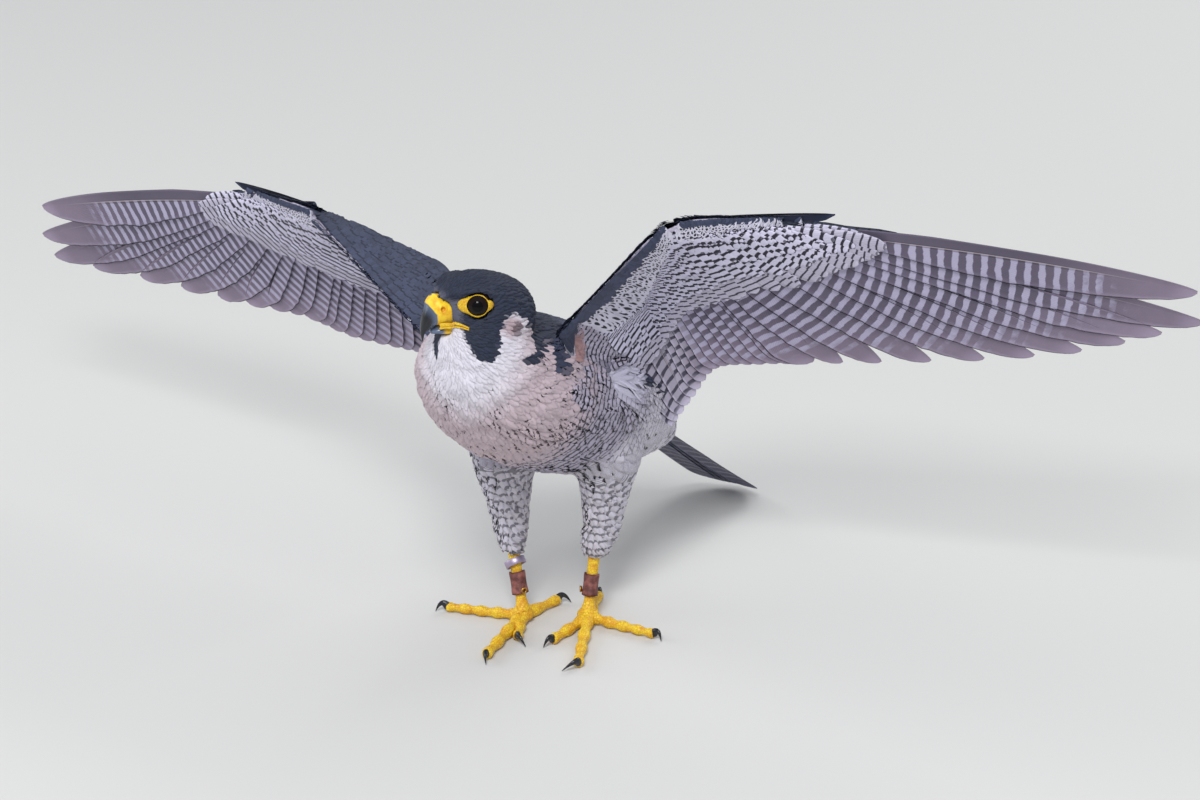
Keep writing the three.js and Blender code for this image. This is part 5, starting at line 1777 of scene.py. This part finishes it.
def toe_piece(foot, key):
    (tip_x, tip_y), _, radius, joints = foot[key]
    start = np.array([foot["sole"][0], foot["sole"][1], PALM_HEIGHT * 0.7])
    end = np.array([tip_x, tip_y, radius * 0.86])
    length = np.linalg.norm(end - start)
    run = unit(end - start)
    across = unit(np.cross(UP, run))
    steps = int(length / TOE_STEP)
    rings = []
    for i in range(steps + 1):
        share = i / steps
        wave = math.cos(2 * math.pi * (joints + 0.5) * (1 - share))
        thick = radius * (1.12 + (0.86 - 1.12) * share) * (0.86 + 0.14 * wave)
        centre = start + (end - start) * share
        centre[2] = start[2] + (end[2] - start[2]) * min(1, share / 0.45)
        depth = TOE_SCUTE_DEPTH * step(0.06, 0.16, share)
        reach = thick - 0.15 + scute_relief(share * length, circle(TOE_SIDES), depth)
        ring = oval(centre, across, UP, reach, reach * 1.04, TOE_SIDES)
        ring[:, 2] = np.maximum(ring[:, 2], 0.02)
        rings.append(ring)
    for ahead, size in TOE_END:
        reach = radius * size
        rings.append(oval(end + run * ahead, across, UP, reach, reach, TOE_SIDES))
    return loft(key, rings)


def leg_piece(foot):
    sole, top, _, across, along = leg_axes(foot)
    length = np.linalg.norm(top - sole)
    steps = int(length / LEG_STEP)
    rings = []
    for i in range(steps + 1):
        share = i / steps * 1.12 - 0.06
        radius = TARSUS_RADIUS[0] + (TARSUS_RADIUS[1] - TARSUS_RADIUS[0]) * share
        radius += 1.6 * step(0.22, -0.06, share)
        front = circle(LEG_SIDES) + math.pi
        reach = radius - 0.1 + scute_relief(share * length * 0.8, front, LEG_SCUTE_DEPTH)
        rings.append(oval(sole + (top - sole) * share, across, along, reach, reach, LEG_SIDES))
    return loft("leg", rings)


def palm_piece(foot):
    x, y, _ = foot["sole"]
    piece = ball("palm", 32, 20, 1)
    local = vertex_values(piece, "co")
    knobs = 1 + 0.05 * np.sin(local[:, 0] * 9) * np.sin(local[:, 1] * 8 + 1)
    form = np.array([PALM_RADIUS, PALM_RADIUS, PALM_HEIGHT * 0.92])
    points = local * form * knobs[:, None] + [x, y, form[2]]
    points[:, 2] = np.maximum(points[:, 2], 0.05)
    set_points(piece, points)
    return piece


def foot_piece(label):
    foot = FEET[label]
    whole = leg_piece(foot)
    for part in [palm_piece(foot)] + [toe_piece(foot, key) for key in TOES]:
        apply_modifier(whole, "BOOLEAN", operation="UNION", solver="EXACT", object=part)
        bpy.data.objects.remove(part)
    whole.name = "foot_" + label
    whole.data.shade_smooth()
    return whole


feet = {label: foot_piece(label) for label in FEET}
print("faces in one foot:", len(feet["left"].data.polygons))

# %% [markdown]
# Claws are black horn, round above and a little flat at the sides, and arch down to a point.

# %% Claws
CLAW_RADIUS = 2.7
CLAW_ARCH = 8.5
CLAW_STEPS = 20


def claw_piece(foot, key):
    (tip_x, tip_y), (claw_x, claw_y), radius, _ = foot[key]
    end = np.array([tip_x, tip_y, radius * 0.9])
    run = unit(end - np.array([foot["sole"][0], foot["sole"][1], end[2]]))
    base = end + run * 0.6
    point = np.array([claw_x, claw_y, 0.6])
    crest = base + run * 4.4
    crest[2] = CLAW_ARCH
    rings = []
    for i in range(CLAW_STEPS + 1):
        share = i / CLAW_STEPS
        centre = base * (1 - share) ** 2 + crest * 2 * share * (1 - share) + point * share**2
        tangent = unit((crest - base) * (1 - share) + (point - crest) * share)
        if i == 0:
            tangent = run
        across = unit(np.cross(UP, tangent))
        above = unit(np.cross(tangent, across))
        size = CLAW_RADIUS * (1 - 0.93 * share**1.15) * (1.04 if i < 2 else 1)
        rings.append(oval(centre, across, above, size * 0.78, size, 20))
    return loft(key, rings)


claws = {
    label: join([claw_piece(foot, key) for key in TOES], "claws_" + label)
    for label, foot in FEET.items()
}

# %% [markdown]
# ## Anklets and ring
# Each leg wears a soft leather anklet: a strip wrapped round once, whose end lies over its
# start, with a brass eyelet through the overlap. A thin metal band sits loosely
# above the right one and has slipped aslant.

# %% Leather anklets
CUFF_LOW = 0.27
CUFF_HIGH = 0.7
CUFF_THICK = 1.25
CUFF_TURN = math.radians(60)
CUFF_WRAP = 2 * math.pi + 0.55
CUFF_STEPS = 84


def cuff_profile(inner, thick):
    """Radius and level of a cuff's outer face on the way up and its lining on the way down."""
    levels = np.linspace(0, 1, 9)
    bulge = 0.5 * (2 * levels - 1) ** 2 * np.where(levels < 0.5, 1.3, 0.8)
    outer = inner + thick + bulge
    outer[[0, -1]] -= 0.35
    lining = inner + bulge * 0.8
    return [*zip(outer, levels), *zip(lining[-2:0:-1], levels[-2:0:-1])]


def anklet(label):
    sole, top, run, across, along = leg_axes(FEET[label])
    low = sole + (top - sole) * CUFF_LOW
    height = np.linalg.norm(top - sole) * (CUFF_HIGH - CUFF_LOW)
    start = SIDES[label] * CUFF_TURN - math.pi / 2 - 0.35
    sections = []
    for i in range(CUFF_STEPS + 1):
        share = i / CUFF_STEPS
        angle = start + CUFF_WRAP * share
        base = TARSUS_RADIUS[0] + 0.4 + 0.125 * math.sin(3 * angle)
        inner = base + step(0.86, 0.95, share) * CUFF_THICK * 0.55
        thick = CUFF_THICK * (0.62 if share > 0.9 or share < 0.08 else 0.8)
        out = across * math.cos(angle) + along * math.sin(angle)
        rise = 0.35 * math.sin(2 * angle + 1)
        profile = cuff_profile(inner, thick)
        sections.append([low + out * r + run * (height * level + rise) for r, level in profile])
    return loft("anklet_" + label, sections)


cuffs = {label: anklet(label) for label in FEET}

# %% Eyelets and ring
EYELET_PROFILE = [
    (1.05, -0.8), (1.05, 0.45), (1.25, 0.72), (1.6, 0.8), (1.95, 0.62), (2.1, 0.25),
    (1.9, -0.05), (1.5, -0.8),
]
RING_PROFILE = [
    (5.6, -1.85), (5.75, -2.1), (6.25, -2.1), (6.4, -1.9), (6.4, 1.9), (6.25, 2.1),
    (5.75, 2.1), (5.6, 1.85),
]
RING_TILT = math.radians(-18)


def eyelet(label):
    low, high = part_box("eyelet_" + label)
    centre = (np.array(low) + np.array(high)) / 2 / MM - shift
    out = unit([-SIDES[label] * math.sin(CUFF_TURN), -math.cos(CUFF_TURN), 0])
    return turned_band("grommet_" + label, centre, out, EYELET_PROFILE, 40)


def leg_band():
    run = leg_axes(FEET["right"])[2]
    low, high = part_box("leg_ring")
    centre = (np.array(low) + np.array(high)) / 2 / MM - shift
    axis = np.array([
        run[0] * math.cos(RING_TILT) + run[2] * math.sin(RING_TILT),
        run[1],
        -run[0] * math.sin(RING_TILT) + run[2] * math.cos(RING_TILT),
    ])
    return turned_band("metal_ring", centre, axis, RING_PROFILE, 72)


eyelets = {label: eyelet(label) for label in FEET}
metal_ring = leg_band()
print("anklets, eyelets and ring are on")

# %% [markdown]
# ## Finishes
# The horn and skin materials read the place on the bird. The cere is yellow up to a line across
# the bill, and the horn behind the hook goes from blue-grey to black. Scales are cells of
# a Voronoi pattern under the larger scutes, which are real steps in the mesh.

# %% Bill, cere and eye materials
YELLOW = srgb(246, 208, 44)
YELLOW_DEEP = srgb(226, 160, 20)
HORN_BLUE = srgb(92, 106, 132)
HORN_BLACK = srgb(22, 24, 30)


def place_of(point):
    """A place on the bird as a material reads it."""
    return tuple(float(v) for v in (point + shift) * MM)


def along_head(start, axis):
    """Distance in mm from the head's centre along one of its axes."""
    moved = start.vector("SUBTRACT", {1: place_of(HEAD_CENTRE)})
    return moved.vector("DOT_PRODUCT", {1: tuple(float(v) / MM for v in axis)}, 1)


def nearest(start, points):
    """Distance in mm to the nearest of two points."""
    first, second = (start.vector("DISTANCE", {1: place_of(p)}, 1) * (1 / MM) for p in points)
    return first.math("MINIMUM", second)


def bill_material():
    material, shader, start = new_material("bill_and_cere", HORN_BLUE, 0.3)
    f, u = along_head(start, head_forward), along_head(start, head_up)
    grain = noise(start, 300.0)
    slope = u.math("MAXIMUM", 0.0) * 0.74 + u.math("MINIMUM", 0.0) * 0.3
    border = f - slope + (grain - 0.5) * 0.8
    cere = (1.0 - border.step(33.6, 34.3)) * u.step(-9.2, -8.6)
    edge = 1.0 - u.step(-9.6, -8.2)
    base_yellow = (1.0 - f.step(26.0, 29.0)) * edge
    tip = (f * 0.9 - u).step(27.0, 38.0) * f.step(33.0, 37.0)
    streaks = noise(start, 180.0, 5.0, 0.6, (1.0, 1.0, 4.0))
    horn = tip.mix(colour(HORN_BLUE), colour(HORN_BLACK))
    horn = ((streaks - 0.45) * 1.2).step(0.0, 1.0).mix(horn, colour(HORN_BLACK))
    skin = grain.step(0.35, 0.75).mix(colour(YELLOW), colour(YELLOW_DEEP))
    base = cere.math("MAXIMUM", base_yellow).mix(horn, skin)
    apart = nearest(start, [on_side(NOSTRIL_PLACE, side) for side in (1, -1)])
    base = (1.0 - apart.step(1.5, 2.6)).mix(base, colour(YELLOW_DEEP))
    # Painted shade: the ring round the nostril's peg is painted dark brown for the shadow deep in
    # the nostril's opening.
    nostril_shade = (1.0 - apart.step(0.85, 1.25)) * apart.step(0.3, 0.5)
    base = nostril_shade.mix(base, colour(srgb(58, 34, 14)))
    relief = noise(start, 900.0) * cere + streaks * 0.4
    surface(shader, base, 0.22 + cere * 0.25 + grain * 0.08, relief, 0.25, 0.0003)
    return material


def bare_skin_material(name, scale):
    material, shader, start = new_material(name, YELLOW, 0.42, {"Subsurface Weight": 0.08})
    cells = start.node(
        "ShaderNodeTexVoronoi", {"feature": "DISTANCE_TO_EDGE"}, {"Vector": start, "Scale": scale}
    )
    grain = noise(start, 260.0)
    gap = 1.0 - cells.step(0.02, 0.12)
    base = grain.step(0.3, 0.75).mix(colour(YELLOW), colour(YELLOW_DEEP))
    base = (gap * 0.45).mix(base, colour(srgb(150, 96, 14)))
    roughness = 0.36 + gap * 0.25 + grain * 0.1
    surface(shader, base, roughness, cells.step(0.0, 0.16), 0.45, 0.0004)
    return material


def claw_material():
    material, shader, start = new_material("claw_horn", HORN_BLACK, 0.22)
    streaks = noise(start, 240.0, 4.0, 0.6, (1.0, 1.0, 0.3))
    base = streaks.step(0.4, 0.8).mix(colour(HORN_BLACK), colour(srgb(58, 56, 62)))
    surface(shader, base, 0.18 + streaks * 0.2, streaks, 0.2, 0.0002)
    return material


def eye_material():
    wet = {"Specular IOR Level": 0.05, "Coat Weight": 0.2, "Coat Roughness": 0.02}
    material, shader, start = new_material("eye_dark", srgb(20, 14, 12), 0.12, wet)
    poles = [eye_centre(side) + eye_axis(side) * EYE_RADIUS for side in (1, -1)]
    fibres = noise(start, 700.0, 3.0)
    brown = fibres.step(0.3, 0.7).mix(colour(srgb(20, 12, 11)), colour(srgb(30, 19, 16)))
    iris = nearest(start, poles).step(3.0, 3.4)
    feed(shader, "Base Color", iris.mix(colour(srgb(4, 4, 5)), brown))
    return material


# %% Leather, brass, ring and skin materials


def leather_material():
    material, shader, start = new_material("anklet_leather", srgb(112, 58, 52), 0.55)
    grain = start.node("ShaderNodeTexVoronoi", {}, {"Vector": start, "Scale": 1400.0})
    wear = noise(start, 220.0, 5.0)
    base = wear.step(0.35, 0.7).mix(colour(srgb(86, 42, 38)), colour(srgb(150, 92, 84)))
    surface(shader, base, 0.42 + wear * 0.3, grain + wear * 0.6, 0.4, 0.0003)
    return material


def metal_material(name, base, roughness, scale):
    material, shader, start = new_material(name, base, roughness, {"Metallic": 1.0})
    scratches = noise(start, scale, 6.0, 0.7, (1.0, 1.0, 9.0))
    dull = noise(start, 150.0)
    tone = dull.step(0.3, 0.8).mix(colour(base * 0.8), colour(base))
    surface(shader, tone, roughness + scratches * 0.22, scratches, 0.15, 0.0002)
    return material


def skin_material():
    material, shader, start = new_material("skin_under_feathers", SLATE, 0.8)
    down = noise(start, 380.0, 4.0)
    tone = attribute(start, "tone").scaled(0.75 + down * 0.4)
    surface(shader, tone, 0.7 + down * 0.2, down, 0.4, 0.0006)
    return material


skin_tone, _, _ = plumage_of(skin_points, skin_normals)
skin_tone = np.pad(skin_tone, ((0, 0), (0, 1)), constant_values=1.0)
tone_layer = skin.data.attributes.new("tone", "FLOAT_COLOR", "POINT")
tone_layer.data.foreach_set("color", skin_tone.ravel())

finishes = {
    "bill": bill_material(),
    "feet": bare_skin_material("scaled_skin", 620.0),
    "lids": bare_skin_material("lid_skin", 900.0),
    "claws": claw_material(),
    "eyes": eye_material(),
    "leather": leather_material(),
    "brass": metal_material("brass", srgb(196, 150, 72), 0.25, 500.0),
    "ring": metal_material("aluminium", srgb(190, 176, 200), 0.32, 700.0),
    "skin": skin_material(),
}

# %% [markdown]
# ## Putting it together
# Each piece gets its finish and rides on the still body, and the parts of the frame
# that it stands in for are hidden.

# %% Finishes and the frame's parts


def finish_piece(piece, material, slot, *nodes):
    piece.data.materials.clear()
    piece.data.materials.append(material)
    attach(piece, "root")
    if nodes:
        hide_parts(*nodes)


finish_piece(skin, finishes["skin"], "pale_plumage", *FLESH)
for coat in head_coats:
    finish_piece(coat, coat_material, "dark_plumage")
for coat in [*body_coats, *thigh_coats, down_tuft, leg_fringe]:
    finish_piece(coat, coat_material, "pale_plumage")
finish_piece(tail, vane_material, "flight_feather", "tail")
for label in SIDES:
    arm_nodes = [f"wing_{label}_{part}" for part in ("hand", "forearm", "upper_arm")]
    finish_piece(flights[label], vane_material, "flight_feather", *arm_nodes)
    finish_piece(thumbs[label], vane_material, "flight_feather", f"wing_{label}_alula")
    for coat in wing_coats[label]:
        finish_piece(coat, coat_material, "flight_feather")
    finish_piece(eyeballs[label], finishes["eyes"], "eye", "eye_" + label)
    finish_piece(lids[label], finishes["lids"], "scaled_skin")
    finish_piece(
        feet[label], finishes["feet"], "scaled_skin", f"leg_{label}_foot", f"leg_{label}_tarsus"
    )
    claw_nodes = [f"claw_{label}_{key}" for key in TOES]
    finish_piece(claws[label], finishes["claws"], "claw", *claw_nodes)
    finish_piece(cuffs[label], finishes["leather"], "leather", "cuff_" + label)
    finish_piece(eyelets[label], finishes["brass"], "brass", "eyelet_" + label)
finish_piece(upper_bill, finishes["bill"], "bill", "bill_upper")
finish_piece(lower_bill, finishes["bill"], "bill", "bill_lower")
finish_piece(lips, finishes["lids"], "bill")
finish_piece(metal_ring, finishes["ring"], "ring_metal", "leg_ring")
total = sum(len(p.data.polygons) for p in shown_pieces() if p.type == "MESH")
print("faces in all:", total)

# %% [markdown]
# ## Floor, light and camera
# A plain pale floor, one large soft light above and in front, and weaker ones from the sides.
# The camera stands at the photograph's angle: thirty degrees to the bird's left of its front
# and looking down by twenty-four.

# %% Studio
FLOOR_SIZE = 60
FLOOR_LEVEL = -0.0002
SKY = (0.93, 0.95, 1.0, 1)
SKY_STRENGTH = 0.55
LIGHTS = [
    ("key", (0.6, -1.5, 1.9), (0, 0, 0.15), 0.7, 38),
    ("side", (-1.9, -0.6, 1.0), (0, 0, 0.15), 1.4, 14),
    ("back", (0.4, 1.9, 1.5), (0, 0, 0.2), 1.2, 16),
]

bpy.ops.mesh.primitive_plane_add(size=FLOOR_SIZE, location=(0, 0, FLOOR_LEVEL))
floor = bpy.context.object
floor.name = "floor"
floor.data.materials.append(new_material("pale_floor", srgb(206, 206, 204), 0.8)[0])
floor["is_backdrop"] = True

world = bpy.data.worlds.new("studio")
bpy.context.scene.world = world
world.use_nodes = True
sky = world.node_tree.nodes["Background"]
sky.inputs["Color"].default_value = SKY
sky.inputs["Strength"].default_value = SKY_STRENGTH
bpy.context.scene.view_settings.view_transform = "Standard"


def soft_light(name, place, target, size, power):
    data = bpy.data.lights.new(name, "AREA")
    data.shape = "SQUARE"
    data.size = size
    data.energy = power
    light = bpy.data.objects.new(name, data)
    light.location = place
    light.rotation_euler = (Vector(target) - Vector(place)).to_track_quat("-Z", "Y").to_euler()
    bpy.context.scene.collection.objects.link(light)


for row in LIGHTS:
    soft_light(*row)

CAMERA_TURN = math.radians(30)
CAMERA_RISE = math.radians(24.2)
CAMERA_DISTANCE = 2400
LENS = 122.4
TARGET_RIGHT = 26
TARGET_HEIGHT = 140
right = np.array([math.cos(CAMERA_TURN), math.sin(CAMERA_TURN), 0])
back = np.array([
    math.sin(CAMERA_TURN) * math.cos(CAMERA_RISE),
    -math.cos(CAMERA_TURN) * math.cos(CAMERA_RISE),
    math.sin(CAMERA_RISE),
])
target = right * TARGET_RIGHT + [0, 0, TARGET_HEIGHT]
camera_data = bpy.data.cameras.new("camera")
camera_data.lens = LENS
camera_data.sensor_width = 36
camera = bpy.data.objects.new("camera", camera_data)
camera.location = (target + back * CAMERA_DISTANCE + shift) * MM
camera.rotation_euler = Vector(-back).to_track_quat("-Z", "Y").to_euler()
bpy.context.scene.collection.objects.link(camera)
bpy.context.scene.camera = camera
